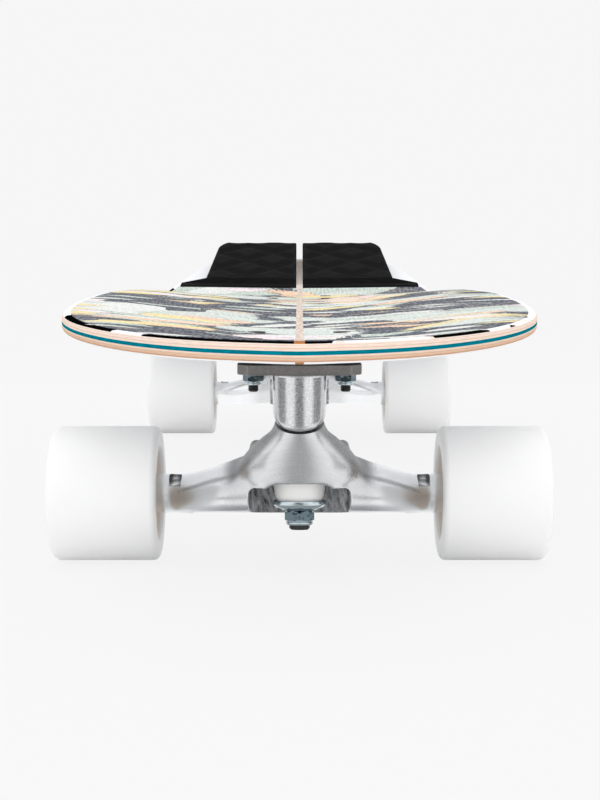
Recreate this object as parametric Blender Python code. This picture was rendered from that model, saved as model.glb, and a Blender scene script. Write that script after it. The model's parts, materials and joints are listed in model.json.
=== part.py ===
"""Surf-style longboard: kicktail deck, traction pad, two pivot-post trucks and four soft wheels.

Frame: nose towards -Y, +X to the right of someone looking along +Y, +Z up, ground at z = 0.
Lengths are in metres. Stations along the board are measured from the front axle towards the tail.
"""
import math

import bmesh
import bpy
from mathutils import Matrix, Vector

# Fits shared by the whole board
GAP = 0.0003
BORE_GAP = 0.0003
SHARP_ANGLE = math.radians(35.0)
MERGE_DISTANCE = 0.000001
TOOL_REACH = 0.0600

# Wheels
WHEEL_RADIUS = 0.0315
WHEEL_WIDTH = 0.050
WHEEL_EDGE_ROUND = 0.0042
WHEEL_INNER_ROUND = 0.0030
WHEEL_MOUTH_RADIUS = 0.0220
WHEEL_OUTER_MOUTH_RADIUS = 0.0205
WHEEL_LIP = 0.0014
CORE_WEB_RADIUS = 0.0095
CORE_FLOOR = 0.0026
WHEEL_SEGMENTS = 24

# Bearings, spacers, rings and axle
BEARING_OUTER_RADIUS = 0.0110
BEARING_WIDTH = 0.0070
BEARING_SHIELD_OUTER = 0.0094
BEARING_SHIELD_INNER = 0.0058
BEARING_SHIELD_DEPTH = 0.0005
BEARING_SEGMENTS = 12
SPACER_LENGTH = 0.0100
SPACER_RADIUS = 0.0052
RING_THICKNESS = 0.0010
RING_RADIUS = 0.0062
AXLE_RADIUS = 0.0040
AXLE_THREAD_OUT = 0.0024
AXLE_CHAMFER = 0.0007
AXLE_NUT_FLATS = 0.0127
AXLE_NUT_HEIGHT = 0.0056
AXLE_NUT_COLLAR = 0.0055
RING_SEGMENTS = 10

# Lock nuts, as shares of their height or of their half size across the flats
NUT_HEX_SHARE = 0.72
NUT_BEVEL_SHARE = 0.10
NUT_FACE_SHARE = 0.94
NUT_COLLAR_TAPER = 0.90

# Truck layout, side view
HANGER_LENGTH = 0.150
WHEEL_INNER_FACE = 0.0655
STEER_ANGLE = math.radians(61.0)
KINGPIN_LEAN = math.radians(7.0)
KINGPIN_AHEAD = 0.0203
RING_CENTRE_UP = 0.0150
POST_AHEAD = 0.0370
MOUNT_PLANE_UP = 0.0652

# Baseplate casting
PLATE_WIDTH = 0.0545
PLATE_THICKNESS = 0.0052
PLATE_FRONT_MARGIN = 0.0200
PLATE_REAR_MARGIN = 0.0120
PLATE_CORNER = 0.0045
POST_TOP_RADIUS = 0.0123
POST_FOOT_RADIUS = 0.0113
POST_FOOT_DROP = 0.0314
POST_FOOT_ANGLE = math.radians(68.0)
POST_FOOT_ROUND = 0.0036
BOSS_RADIUS = 0.0105
BOSS_ROOT_RADIUS = 0.0125
RIB_THICKNESS = 0.0070
RIB_LENGTH = 0.0330
RIB_DEPTH = 0.0190
CAST_SEGMENTS = 24

# Deck bolts
BOLT_ACROSS = 0.0413
BOLT_ALONG = 0.0539
BOLT_AHEAD = 0.0310
BOLT_RADIUS = 0.0024
BOLT_HEAD_RADIUS = 0.0045
BOLT_HEAD_DEPTH = 0.0024
BOLT_HEAD_SUNK = 0.0003
BOLT_NUT_FLATS = 0.0081
BOLT_NUT_HEIGHT = 0.0057
BOLT_NUT_COLLAR = 0.0035
BOLT_TAIL = 0.0028
BOLT_SEGMENTS = 12
HOLE_SEGMENTS = 8
HOLE_FLAT = math.cos(math.pi / HOLE_SEGMENTS)

# Kingpin stack, measured along the kingpin from the middle of the hanger ring
KINGPIN_RADIUS = 0.0047
KINGPIN_HEAD_FLATS = 0.0143
KINGPIN_HEAD_HEIGHT = 0.0050
KINGPIN_NUT_FLATS = 0.0134
KINGPIN_NUT_HEIGHT = 0.0066
KINGPIN_NUT_COLLAR = 0.0062
KINGPIN_TAIL = 0.0021
KINGPIN_CHAMFER = 0.0008
KINGPIN_SUNK = 0.0024
RING_WEB = 0.0052
BOARD_BUSHING_HEIGHT = 0.0124
BOARD_BUSHING_RADIUS = 0.0122
BUSHING_ROUND = 0.0010
ROAD_BUSHING_HEIGHT = 0.0145
ROAD_BUSHING_RADIUS = 0.0126
ROAD_BUSHING_FOOT = 0.0096
ROAD_BUSHING_SHOULDER = 0.25
ROAD_BUSHING_SHOULDER_RADIUS = 0.0109
TOP_WASHER_THICKNESS = 0.0022
TOP_WASHER_RADIUS = 0.0112
CUP_DEPTH = 0.0030
CUP_WALL = 0.0015
CUP_RADIUS = 0.0116
CUP_FOOT_RADIUS = 0.0078
CUP_SHOULDER_RADIUS = 0.0112
CUP_SHOULDER_SHARE = 0.75
BUSHING_SEGMENTS = 18

# Pivot
PIVOT_RADIUS = 0.0056
PIVOT_LENGTH = 0.0082
PIVOT_CUP_WALL = 0.0015
PIVOT_CUP_FLOOR = 0.0015
PIVOT_ROOT = 0.0060
SHOULDER_GAP = 0.0009
PIVOT_NOSE = 0.0031
PIVOT_NOSE_FACE = 0.0035
PIVOT_NOSE_CROWN = 0.0008
PIVOT_CUP_CORNER = 0.0026
PIVOT_CUP_FACE = 0.0041

# Hanger casting; each section of the arms is (reach, front, rear, foot, top, squareness)
# and each section of the body is (height, half width, front, rear, squareness), from the axle
ARM_RADIUS = 0.0091
ARM_SECTIONS = (
    (0.0190, -0.0355, 0.0093, -0.0091, 0.0170, 2.6),
    (0.0270, -0.0325, 0.0093, -0.0091, 0.0150, 2.5),
    (0.0345, -0.0255, 0.0093, -0.0091, 0.0121, 2.4),
    (0.0440, -0.0175, 0.0091, -0.0091, 0.0090, 2.2),
    (0.0548, -0.0108, 0.0088, -0.0091, 0.0076, 2.1),
)
BODY_SECTIONS = (
    (-0.0100, 0.0255, -0.0250, 0.0070, 2.6),
    (0.0000, 0.0270, -0.0310, 0.0090, 2.5),
    (0.0070, 0.0285, -0.0345, 0.0088, 2.4),
    (0.0125, 0.0283, -0.0370, 0.0065, 2.3),
    (0.0165, 0.0268, -0.0386, 0.0030, 2.2),
    (0.0205, 0.0244, -0.0400, -0.0010, 2.2),
    (0.0250, 0.0212, -0.0417, -0.0070, 2.1),
    (0.0300, 0.0170, -0.0438, -0.0135, 2.0),
    (0.0350, 0.0128, -0.0460, -0.0200, 2.0),
)
NECK_HALF_WIDTH = 0.0110
NECK_MARGIN = 0.0040
BODY_FOOT_LEAN = math.radians(12.0)
BODY_FOOT_CLEAR = 0.0002
COLLAR_RADIUS = 0.0205
COLLAR_TOP = 0.0100
COLLAR_CHAMFER = 0.0012
RING_BORE_RADIUS = 0.0090
SEAT_RADIUS = 0.0151
POCKET_HALF_WIDTH = 0.0228
POCKET_TOP_UP = 0.0080
ARCH_HALF_WIDTH = 0.0134
ARCH_RISE = 0.0026
POCKET_CORNER = 0.0030
ARCH_FLARE = 0.0014
ARCH_POINTS = ((0.94, 0.62), (0.76, 0.93), (0.30, 1.0))
ROAD_SEAT_CLEAR = 0.0010
POCKET_BACK = 0.0088
ARM_NOTCH = 0.0066
ARM_NOTCH_WIDTH = 0.0112
ARM_NOTCH_FLOOR = 0.0056
SECTION_POINTS = 24

# Deck
WHEELBASE = 0.4650
NOSE_OVERHANG = 0.1650
TAIL_OVERHANG = 0.1500
DECK_HALF_WIDTH = 0.1270
WIDEST_STATION = 0.1700
TAIL_HALF_WIDTH = 0.0710
TAIL_SWEEP = 4.4
TAIL_CORNER = 0.0280
TAIL_CORNER_POWER = 3.2
DECK_THICKNESS = 0.0080
DECK_ROUND = 0.0022
CONCAVE = 0.0090
NOSE_RISE = 0.0088
NOSE_LIFT_START = 0.0450
CAMBER = 0.0020
KICK_START = 0.0372
KICK_BLEND = 0.0240
KICK_ANGLE = math.radians(16.0)
CONCAVE_FADE_START = -0.0900
CONCAVE_FADE_END = 0.1100
DECK_COLUMNS = 8
TIP_ANGLE = math.radians(3.6)
NOSE_STATIONS = 11
SIDE_STATIONS = 5
KICK_STATIONS = 6
CORNER_STATIONS = 5

# Grit sheet
GRIT_THICKNESS = 0.0007
GRIT_INSET = 0.0040
GRIT_HOLE_RADIUS = 0.0054
GRIT_LIFT = 0.0004

# Tail pad
PAD_FRONT = 0.0680
PAD_LENGTH = 0.0760
PAD_LEDGE = 0.0075
PAD_LEDGE_HALF_WIDTH = 0.0975
PAD_BODY_FRONT_HALF = 0.0775
PAD_BODY_REAR_HALF = 0.0685
PAD_SPLIT = 0.0052
PAD_FRONT_THICKNESS = 0.0045
PAD_STEP_THICKNESS = 0.0056
PAD_STEP_RUN = 0.0011
PAD_REAR_THICKNESS = 0.0172
PAD_EDGE_DROP = 0.0030
PAD_EDGE_BAND = 0.0060
PAD_CORNER = 0.0120
QUILT_ACROSS = 0.0220
QUILT_ALONG = 0.0140
QUILT_DEPTH = 0.0014
QUILT_CROSS_STEP = 0.0002
QUILT_GROOVE_HALF = 0.0019
QUILT_FRONT_CLEAR = 0.0030
QUILT_STEP = 0.0080
PAD_COLUMNS = 4
PAD_ROWS = 6

# Values worked out from the driving dimensions
AXLE_Z = WHEEL_RADIUS
DECK_LENGTH = NOSE_OVERHANG + WHEELBASE + TAIL_OVERHANG
FRONT_AXLE_Y = NOSE_OVERHANG - DECK_LENGTH / 2
REAR_AXLE_Y = FRONT_AXLE_Y + WHEELBASE
TAIL_STATION = WHEELBASE + TAIL_OVERHANG
PLATE_TOP = AXLE_Z + MOUNT_PLANE_UP
PLATE_FOOT = PLATE_TOP - PLATE_THICKNESS
DECK_FOOT = PLATE_TOP + GAP
DECK_TOP = DECK_FOOT + DECK_THICKNESS

STEER_AXIS = Vector((0.0, -math.cos(STEER_ANGLE), math.sin(STEER_ANGLE)))
KINGPIN_AXIS = Vector((0.0, math.sin(KINGPIN_LEAN), math.cos(KINGPIN_LEAN)))
RING_CENTRE = Vector((0.0, -KINGPIN_AHEAD, AXLE_Z + RING_CENTRE_UP))
POST_FOOT_FRONT = Vector((0.0, -POST_AHEAD - POST_FOOT_RADIUS, PLATE_TOP - POST_FOOT_DROP))
FOOT_NORMAL = Vector((0.0, -math.cos(POST_FOOT_ANGLE), math.sin(POST_FOOT_ANGLE)))
FOOT_ON_AXIS = (POST_FOOT_FRONT - RING_CENTRE).dot(FOOT_NORMAL) / STEER_AXIS.dot(FOOT_NORMAL)
CUP_OUTER_RADIUS = PIVOT_RADIUS + BORE_GAP + PIVOT_CUP_WALL
PIVOT_MOUTH = FOOT_ON_AXIS + CUP_OUTER_RADIUS * math.tan(POST_FOOT_ANGLE - STEER_ANGLE)
PIVOT_SEAT = PIVOT_MOUTH + PIVOT_LENGTH

STACK_UP = RING_WEB / 2 + GAP
BOARD_BUSHING_TOP = STACK_UP + BOARD_BUSHING_HEIGHT
TOP_WASHER_FOOT = BOARD_BUSHING_TOP + GAP
TOP_WASHER_TOP = TOP_WASHER_FOOT + TOP_WASHER_THICKNESS
BOSS_FOOT = TOP_WASHER_TOP + GAP
ROAD_BUSHING_FOOT_AT = -STACK_UP - ROAD_BUSHING_HEIGHT
CUP_FLOOR_TOP = ROAD_BUSHING_FOOT_AT - GAP
CUP_FOOT = CUP_FLOOR_TOP - CUP_WALL
CUP_RIM = CUP_FLOOR_TOP + CUP_DEPTH
KINGPIN_NUT_TOP = CUP_FOOT - GAP
KINGPIN_NUT_FOOT = KINGPIN_NUT_TOP - KINGPIN_NUT_HEIGHT
KINGPIN_FOOT = KINGPIN_NUT_FOOT - KINGPIN_TAIL
KINGPIN_TOP = (PLATE_TOP - RING_CENTRE.z) / KINGPIN_AXIS.z - KINGPIN_SUNK
KINGPIN_HEAD_FOOT = KINGPIN_TOP - KINGPIN_HEAD_HEIGHT

# Places along the axle, outwards from the middle of the truck
HANGER_END = HANGER_LENGTH / 2
INNER_RING_START = HANGER_END + GAP
INNER_BEARING_START = INNER_RING_START + RING_THICKNESS + GAP
SPACER_START = INNER_BEARING_START + BEARING_WIDTH + GAP
OUTER_BEARING_START = SPACER_START + SPACER_LENGTH + GAP
OUTER_RING_START = OUTER_BEARING_START + BEARING_WIDTH + GAP
AXLE_NUT_START = OUTER_RING_START + RING_THICKNESS + GAP
AXLE_END = AXLE_NUT_START + AXLE_NUT_HEIGHT + AXLE_THREAD_OUT
WHEEL_MIDDLE = WHEEL_INNER_FACE + WHEEL_WIDTH / 2

MATERIALS = {
    "urethane_white": ((0.86, 0.86, 0.85), 0.32, 0.0),
    "bushing_white": ((0.88, 0.87, 0.84), 0.35, 0.0),
    "cast_aluminium": ((0.63, 0.64, 0.64), 0.34, 1.0),
    "post_aluminium": ((0.42, 0.41, 0.40), 0.50, 1.0),
    "zinc_steel": ((0.66, 0.70, 0.74), 0.25, 1.0),
    "bearing_steel": ((0.72, 0.72, 0.73), 0.22, 1.0),
    "black_steel": ((0.03, 0.03, 0.03), 0.40, 0.6),
    "maple": ((0.80, 0.58, 0.42), 0.50, 0.0),
    "grit": ((0.33, 0.35, 0.38), 0.85, 0.0),
    "pad_foam": ((0.022, 0.020, 0.021), 0.75, 0.0),
    "cup_plastic": ((0.80, 0.80, 0.78), 0.45, 0.0),
}


def clear_scene():
    """Take away whatever the scene holds."""
    for obj in list(bpy.data.objects):
        bpy.data.objects.remove(obj, do_unlink=True)


def make_materials():
    """One Principled material for each finish."""
    made = {}
    for name, (color, roughness, metallic) in MATERIALS.items():
        material = bpy.data.materials.new(name)
        material.use_nodes = True
        shader = material.node_tree.nodes["Principled BSDF"]
        shader.inputs["Base Color"].default_value = (*color, 1.0)
        shader.inputs["Roughness"].default_value = roughness
        shader.inputs["Metallic"].default_value = metallic
        material.diffuse_color = (*color, 1.0)
        made[name] = material
    return made


def rotation_to(axis):
    """Rotation that turns +Z onto the given axis."""
    return Vector((0.0, 0.0, 1.0)).rotation_difference(axis).to_matrix().to_4x4()


def add_object(name, bm, material, origin, parent):
    """Turn a bmesh in truck or board coordinates into an object whose origin is where asked."""
    bmesh.ops.recalc_face_normals(bm, faces=bm.faces)
    bmesh.ops.translate(bm, verts=bm.verts, vec=-origin)
    mesh = bpy.data.meshes.new(name)
    bm.to_mesh(mesh)
    bm.free()
    mesh.shade_smooth()
    mesh.set_sharp_from_angle(angle=SHARP_ANGLE)
    mesh.materials.append(material)
    obj = bpy.data.objects.new(name, mesh)
    bpy.context.collection.objects.link(obj)
    obj.parent = parent
    parent_origin = Vector(parent["frame_origin"]) if parent else Vector()
    obj.location = origin - parent_origin
    return obj


def add_empty(name, origin, parent=None, turn=0.0):
    """An empty that carries pieces, and remembers where its origin lies in its own frame."""
    empty = bpy.data.objects.new(name, None)
    bpy.context.collection.objects.link(empty)
    parent_origin = Vector(parent["frame_origin"]) if parent else Vector()
    empty.parent = parent
    empty.location = origin - parent_origin
    empty.rotation_euler = (0.0, 0.0, turn)
    empty["frame_origin"] = tuple(origin) if parent else (0.0, 0.0, 0.0)
    return empty


def add_cutter(name, bm, parent):
    """A hidden tool solid for a Boolean."""
    bmesh.ops.recalc_face_normals(bm, faces=bm.faces)
    mesh = bpy.data.meshes.new(name)
    bm.to_mesh(mesh)
    bm.free()
    mesh.shade_smooth()
    mesh.set_sharp_from_angle(angle=SHARP_ANGLE)
    cutter = bpy.data.objects.new(name, mesh)
    bpy.context.collection.objects.link(cutter)
    cutter.hide_render = True
    cutter.display_type = "WIRE"
    cutter.parent = parent
    if parent:
        cutter.location = -Vector(parent["frame_origin"])
    return cutter


def combine(obj, tool, operation):
    """Add one exact Boolean to an object."""
    modifier = obj.modifiers.new(tool.name, "BOOLEAN")
    modifier.operation = operation
    modifier.solver = "EXACT"
    modifier.object = tool


def lathe(profile, segments, closed, phase=None, flats=None, turn=0.0):
    """Turn (radius, height) points about +Z; flats is the across-flats size of the points marked hex."""
    bm = bmesh.new()
    rings = []
    capped = [not closed and profile[end][0] <= 0.0 and profile[end][1] == profile[beside][1]
              for end, beside in ((0, 1), (-1, -2))]
    profile = profile[int(capped[0]):len(profile) - int(capped[1])]
    if phase is None:
        phase = 0.0 if flats else math.pi / segments
    for radius, height, *shape in profile:
        if radius <= 0.0:
            rings.append([bm.verts.new((0.0, 0.0, height))])
            continue
        ring = []
        for step in range(segments):
            angle = phase + math.tau * step / segments
            reach = radius
            if flats and shape:
                off_flat = ((angle - turn) % math.radians(60.0)) - math.radians(30.0)
                reach = flats / 2 / math.cos(off_flat)
            ring.append(bm.verts.new((reach * math.cos(angle), reach * math.sin(angle), height)))
        rings.append(ring)
    count = len(rings)
    for index in range(count if closed else count - 1):
        join_rings(bm, rings[index], rings[(index + 1) % count])
    for wanted, ring in zip(capped, (rings[0], rings[-1])):
        if wanted:
            bm.faces.new(ring)
    return bm


def join_rings(bm, first, second):
    """Skin the strip between two rings, either of which may be a single point."""
    size = max(len(first), len(second))
    for step in range(size):
        after = (step + 1) % size
        if len(first) == 1:
            bm.faces.new((first[0], second[step], second[after]))
        elif len(second) == 1:
            bm.faces.new((first[step], second[0], first[after]))
        else:
            bm.faces.new((first[step], second[step], second[after], first[after]))


def loft(loops):
    """Skin a stack of loops with equal counts and close both ends."""
    bm = bmesh.new()
    rings = [[bm.verts.new(point) for point in loop] for loop in loops]
    for index in range(len(rings) - 1):
        join_rings(bm, rings[index], rings[index + 1])
    bm.faces.new(rings[0])
    bm.faces.new(rings[-1])
    return bm


def turned(bm, matrix):
    """Move every vertex of a bmesh by a matrix."""
    bmesh.ops.transform(bm, matrix=matrix, verts=bm.verts)
    return bm


def merged(parts):
    """Gather several closed shells into one bmesh."""
    target = bmesh.new()
    for part in parts:
        mesh = bpy.data.meshes.new("shell")
        part.to_mesh(mesh)
        part.free()
        target.from_mesh(mesh)
        bpy.data.meshes.remove(mesh)
    return target


def along_x(start):
    """Matrix that lays a +Z lathe along +X, beginning at the given place on the axle."""
    return Matrix.Translation((start, 0.0, AXLE_Z)) @ rotation_to(Vector((1.0, 0.0, 0.0)))


def along_kingpin(offset=0.0):
    """Matrix from a +Z lathe to the kingpin line, zero at the middle of the hanger ring."""
    return Matrix.Translation(RING_CENTRE + KINGPIN_AXIS * offset) @ rotation_to(KINGPIN_AXIS)


def along_steer(offset=0.0):
    """Matrix from a +Z lathe to the steering line, zero at the middle of the hanger ring."""
    return Matrix.Translation(RING_CENTRE + STEER_AXIS * offset) @ rotation_to(STEER_AXIS)


def mirrored_x(bm):
    """Mirror a bmesh across the middle plane of the board."""
    return turned(bm, Matrix.Scale(-1.0, 4, (1.0, 0.0, 0.0)))


def tube_profile(inner, outer, start, end):
    """Closed profile of a plain ring."""
    return [(inner, start), (outer, start), (outer, end), (inner, end)]


def arc_points(centre_r, centre_z, radius, start, end, steps):
    """Points on an arc in the (radius, height) plane, angles in degrees."""
    points = []
    for step in range(steps + 1):
        angle = math.radians(start + (end - start) * step / steps)
        points.append((centre_r + radius * math.cos(angle), centre_z + radius * math.sin(angle)))
    return points


def nut_profile(flats, height, bore, collar):
    """Lock nut: chamfered hexagon with a round collar on its far side."""
    body = height * NUT_HEX_SHARE
    bevel = flats / 2 * NUT_BEVEL_SHARE
    return [
        (bore, 0.0),
        (flats / 2 * NUT_FACE_SHARE, 0.0),
        (flats / 2, bevel, "hex"),
        (flats / 2, body - bevel, "hex"),
        (collar, body),
        (collar * NUT_COLLAR_TAPER, height),
        (bore, height),
    ]


def wheel_mesh():
    """Urethane wheel with cone-shaped recesses, bearing seats and a core web, along +X."""
    width = WHEEL_WIDTH
    seat = BEARING_OUTER_RADIUS + BORE_GAP
    inner_floor = INNER_BEARING_START - GAP / 2 - WHEEL_INNER_FACE
    web_start = SPACER_START - WHEEL_INNER_FACE
    web_end = web_start + SPACER_LENGTH
    outer_floor = OUTER_RING_START - GAP / 2 - WHEEL_INNER_FACE
    rim = WHEEL_RADIUS
    profile = [
        (seat, inner_floor),
        (seat, web_start),
        (CORE_WEB_RADIUS, web_start),
        (CORE_WEB_RADIUS, web_end),
        (seat, web_end),
        (seat, outer_floor),
        (seat + CORE_FLOOR, outer_floor),
        (WHEEL_OUTER_MOUTH_RADIUS, width - WHEEL_LIP),
        (WHEEL_OUTER_MOUTH_RADIUS + WHEEL_LIP, width),
    ]
    profile += arc_points(rim - WHEEL_EDGE_ROUND, width - WHEEL_EDGE_ROUND, WHEEL_EDGE_ROUND, 90, 0, 2)
    profile += arc_points(rim - WHEEL_INNER_ROUND, WHEEL_INNER_ROUND, WHEEL_INNER_ROUND, 0, -90, 2)
    profile += [
        (WHEEL_MOUTH_RADIUS + WHEEL_LIP, 0.0),
        (WHEEL_MOUTH_RADIUS, WHEEL_LIP),
        (seat + CORE_FLOOR, inner_floor),
    ]
    half_step = math.pi / WHEEL_SEGMENTS
    grow = 1.0 / math.cos(half_step)
    profile = [(radius * grow, height) for radius, height in profile]
    bm = lathe(profile, WHEEL_SEGMENTS, True, phase=half_step)
    return turned(bm, along_x(WHEEL_INNER_FACE))


def bearing_mesh(start, outward):
    """Ball bearing as one ring, the shield on its open side set back."""
    shield = BEARING_SHIELD_DEPTH
    end = BEARING_WIDTH
    bore = AXLE_RADIUS + BORE_GAP
    profile = [
        (bore, 0.0),
        (BEARING_SHIELD_INNER, 0.0),
        (BEARING_SHIELD_OUTER, shield),
        (BEARING_OUTER_RADIUS, 0.0),
        (BEARING_OUTER_RADIUS, end),
        (bore, end),
    ]
    if outward:
        profile = [(radius, end - height) for radius, height in profile]
    return turned(lathe(profile, BEARING_SEGMENTS, True), along_x(start))


def ring_mesh(start, length, outer):
    """Speed ring or spacer on the axle."""
    profile = tube_profile(AXLE_RADIUS + BORE_GAP, outer, 0.0, length)
    return turned(lathe(profile, RING_SEGMENTS, True), along_x(start))


def axle_mesh():
    """Steel axle through the hanger with chamfered, threaded ends."""
    profile = [
        (0.0, -AXLE_END),
        (AXLE_RADIUS - AXLE_CHAMFER, -AXLE_END),
        (AXLE_RADIUS, -AXLE_END + AXLE_CHAMFER),
        (AXLE_RADIUS, AXLE_END - AXLE_CHAMFER),
        (AXLE_RADIUS - AXLE_CHAMFER, AXLE_END),
        (0.0, AXLE_END),
    ]
    return turned(lathe(profile, BOLT_SEGMENTS, False), along_x(0.0))


def axle_nut_mesh():
    """Lock nut on the outer end of the axle."""
    bore = AXLE_RADIUS + BORE_GAP
    profile = nut_profile(AXLE_NUT_FLATS, AXLE_NUT_HEIGHT, bore, AXLE_NUT_COLLAR)
    bm = lathe(profile, BOLT_SEGMENTS, True, flats=AXLE_NUT_FLATS)
    return turned(bm, along_x(AXLE_NUT_START))


def plate_outline():
    """Plan outline of the baseplate flange, with cut corners."""
    half = PLATE_WIDTH / 2
    front = -BOLT_AHEAD - PLATE_FRONT_MARGIN
    rear = -BOLT_AHEAD + BOLT_ALONG + PLATE_REAR_MARGIN
    cut = PLATE_CORNER
    right = [(half - cut, front), (half, front + cut), (half, rear - cut), (half - cut, rear)]
    return right + [(-x, y) for x, y in reversed(right)]


def baseplate_solids():
    """Flange, pivot post, kingpin boss and rib before they are joined."""
    outline = plate_outline()
    flange = loft([[(x, y, z) for x, y in outline] for z in (PLATE_FOOT, PLATE_TOP)])
    overlap = PLATE_THICKNESS / 2
    post = bmesh.new()
    bmesh.ops.create_cone(
        post, cap_ends=True, segments=CAST_SEGMENTS, radius1=POST_FOOT_RADIUS,
        radius2=POST_TOP_RADIUS, depth=POST_FOOT_DROP + overlap)
    middle = PLATE_FOOT - (POST_FOOT_DROP - overlap) / 2
    bmesh.ops.translate(post, verts=post.verts, vec=(0.0, -POST_AHEAD, middle))
    cut = bmesh.ops.bisect_plane(
        post, geom=post.verts[:] + post.edges[:] + post.faces[:],
        plane_co=POST_FOOT_FRONT, plane_no=FOOT_NORMAL, clear_inner=True)
    rim = [item for item in cut["geom_cut"] if isinstance(item, bmesh.types.BMEdge)]
    bmesh.ops.contextual_create(post, geom=rim)
    bmesh.ops.bevel(
        post, geom=rim, offset=POST_FOOT_ROUND, segments=2, profile=0.5,
        affect="EDGES", clamp_overlap=True)
    boss_top = (PLATE_FOOT + overlap - RING_CENTRE.z) / KINGPIN_AXIS.z
    boss = turned(
        lathe([(0.0, BOSS_FOOT), (BOSS_RADIUS, BOSS_FOOT), (BOSS_ROOT_RADIUS, boss_top),
               (0.0, boss_top)], CAST_SEGMENTS, False), along_kingpin())
    back = RING_CENTRE.y + boss_top * KINGPIN_AXIS.y
    side = [(back, PLATE_FOOT + overlap), (back + RIB_LENGTH, PLATE_FOOT + overlap),
            (back + RIB_LENGTH, PLATE_FOOT - overlap / 2), (back, PLATE_FOOT - RIB_DEPTH)]
    half = RIB_THICKNESS / 2
    rib = loft([[(x, y, z) for y, z in side] for x in (-half, half)])
    return flange, post, boss, rib


def baseplate_cuts():
    """Bolt holes, kingpin bore and head pocket, and the slanted pivot bore."""
    cuts = []
    bore = (BOLT_RADIUS + BORE_GAP) / HOLE_FLAT
    for x, y in bolt_places():
        hole = lathe(
            [(0.0, PLATE_FOOT - GAP), (bore, PLATE_FOOT - GAP), (bore, PLATE_TOP + GAP),
             (0.0, PLATE_TOP + GAP)], HOLE_SEGMENTS, False)
        cuts.append(turned(hole, Matrix.Translation((x, y, 0.0))))
    above = KINGPIN_TOP + PLATE_THICKNESS
    pocket = KINGPIN_HEAD_FLATS / math.sqrt(3.0) + BORE_GAP
    shaft = [(0.0, BOSS_FOOT - GAP), (KINGPIN_RADIUS + BORE_GAP, BOSS_FOOT - GAP),
             (KINGPIN_RADIUS + BORE_GAP, KINGPIN_HEAD_FOOT - GAP), (pocket, KINGPIN_HEAD_FOOT - GAP),
             (pocket, above), (0.0, above)]
    cuts.append(turned(lathe(shaft, CAST_SEGMENTS, False), along_kingpin()))
    return merged(cuts)


def pivot_bore():
    """Seat of the pivot cup, along the steering line."""
    cup = CUP_OUTER_RADIUS + BORE_GAP
    deep = PIVOT_SEAT + PIVOT_CUP_FLOOR
    mouth = PIVOT_MOUTH - PIVOT_LENGTH
    profile = [(0.0, mouth), (cup, mouth), (cup, deep), (0.0, deep)]
    return turned(lathe(profile, CAST_SEGMENTS, False), along_steer())


def bolt_places():
    """Middles of the four deck bolts in truck coordinates."""
    half = BOLT_ACROSS / 2
    return [(x, y) for y in (-BOLT_AHEAD, -BOLT_AHEAD + BOLT_ALONG) for x in (-half, half)]


def build_baseplate(name, parent, material):
    """Cast baseplate with its pivot post and kingpin boss as one solid."""
    flange, post, boss, rib = baseplate_solids()
    plate = add_object(name, flange, material, Vector((0.0, 0.0, PLATE_FOOT)), parent)
    for label, solid in (("post", post), ("boss", boss), ("rib", rib)):
        combine(plate, add_cutter(f"{name}_{label}_tool", solid, parent), "UNION")
    combine(plate, add_cutter(f"{name}_holes_tool", baseplate_cuts(), parent), "DIFFERENCE")
    combine(plate, add_cutter(f"{name}_pivot_tool", pivot_bore(), parent), "DIFFERENCE")
    return plate


def pivot_cup_mesh():
    """Plastic thimble that the hanger's pivot turns in."""
    inner = PIVOT_RADIUS + BORE_GAP
    floor = PIVOT_SEAT + PIVOT_CUP_FLOOR - GAP
    profile = [
        (0.0, PIVOT_SEAT),
        (PIVOT_CUP_FACE, PIVOT_SEAT - GAP * 2),
        (inner, PIVOT_SEAT - PIVOT_CUP_CORNER),
        (inner, PIVOT_MOUTH),
        (CUP_OUTER_RADIUS, PIVOT_MOUTH),
        (CUP_OUTER_RADIUS, floor),
        (0.0, floor),
    ]
    return turned(lathe(profile, BUSHING_SEGMENTS, False), along_steer())


def kingpin_mesh():
    """Kingpin with a hexagon head let into the baseplate and a threaded tail."""
    flats = KINGPIN_HEAD_FLATS
    profile = [
        (0.0, KINGPIN_TOP),
        (flats / 2, KINGPIN_TOP, "hex"),
        (flats / 2, KINGPIN_HEAD_FOOT, "hex"),
        (KINGPIN_RADIUS, KINGPIN_HEAD_FOOT),
        (KINGPIN_RADIUS, KINGPIN_FOOT + KINGPIN_CHAMFER),
        (KINGPIN_RADIUS - KINGPIN_CHAMFER, KINGPIN_FOOT),
        (0.0, KINGPIN_FOOT),
    ]
    return turned(lathe(profile, BOLT_SEGMENTS, False, flats=flats), along_kingpin())


def kingpin_nut_mesh():
    """Lock nut under the bushing stack, its collar facing the road."""
    bore = KINGPIN_RADIUS + BORE_GAP
    profile = nut_profile(KINGPIN_NUT_FLATS, KINGPIN_NUT_HEIGHT, bore, KINGPIN_NUT_COLLAR)
    flipped = [(point[0], KINGPIN_NUT_TOP - point[1], *point[2:]) for point in profile]
    bm = lathe(flipped, BOLT_SEGMENTS, True, flats=KINGPIN_NUT_FLATS, turn=math.radians(30.0))
    return turned(bm, along_kingpin())


def top_washer_mesh():
    """Flat washer between the boss and the board-side bushing."""
    inner = KINGPIN_RADIUS + BORE_GAP
    profile = tube_profile(inner, TOP_WASHER_RADIUS, TOP_WASHER_FOOT, TOP_WASHER_TOP)
    return turned(lathe(profile, BUSHING_SEGMENTS, True), along_kingpin())


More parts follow.
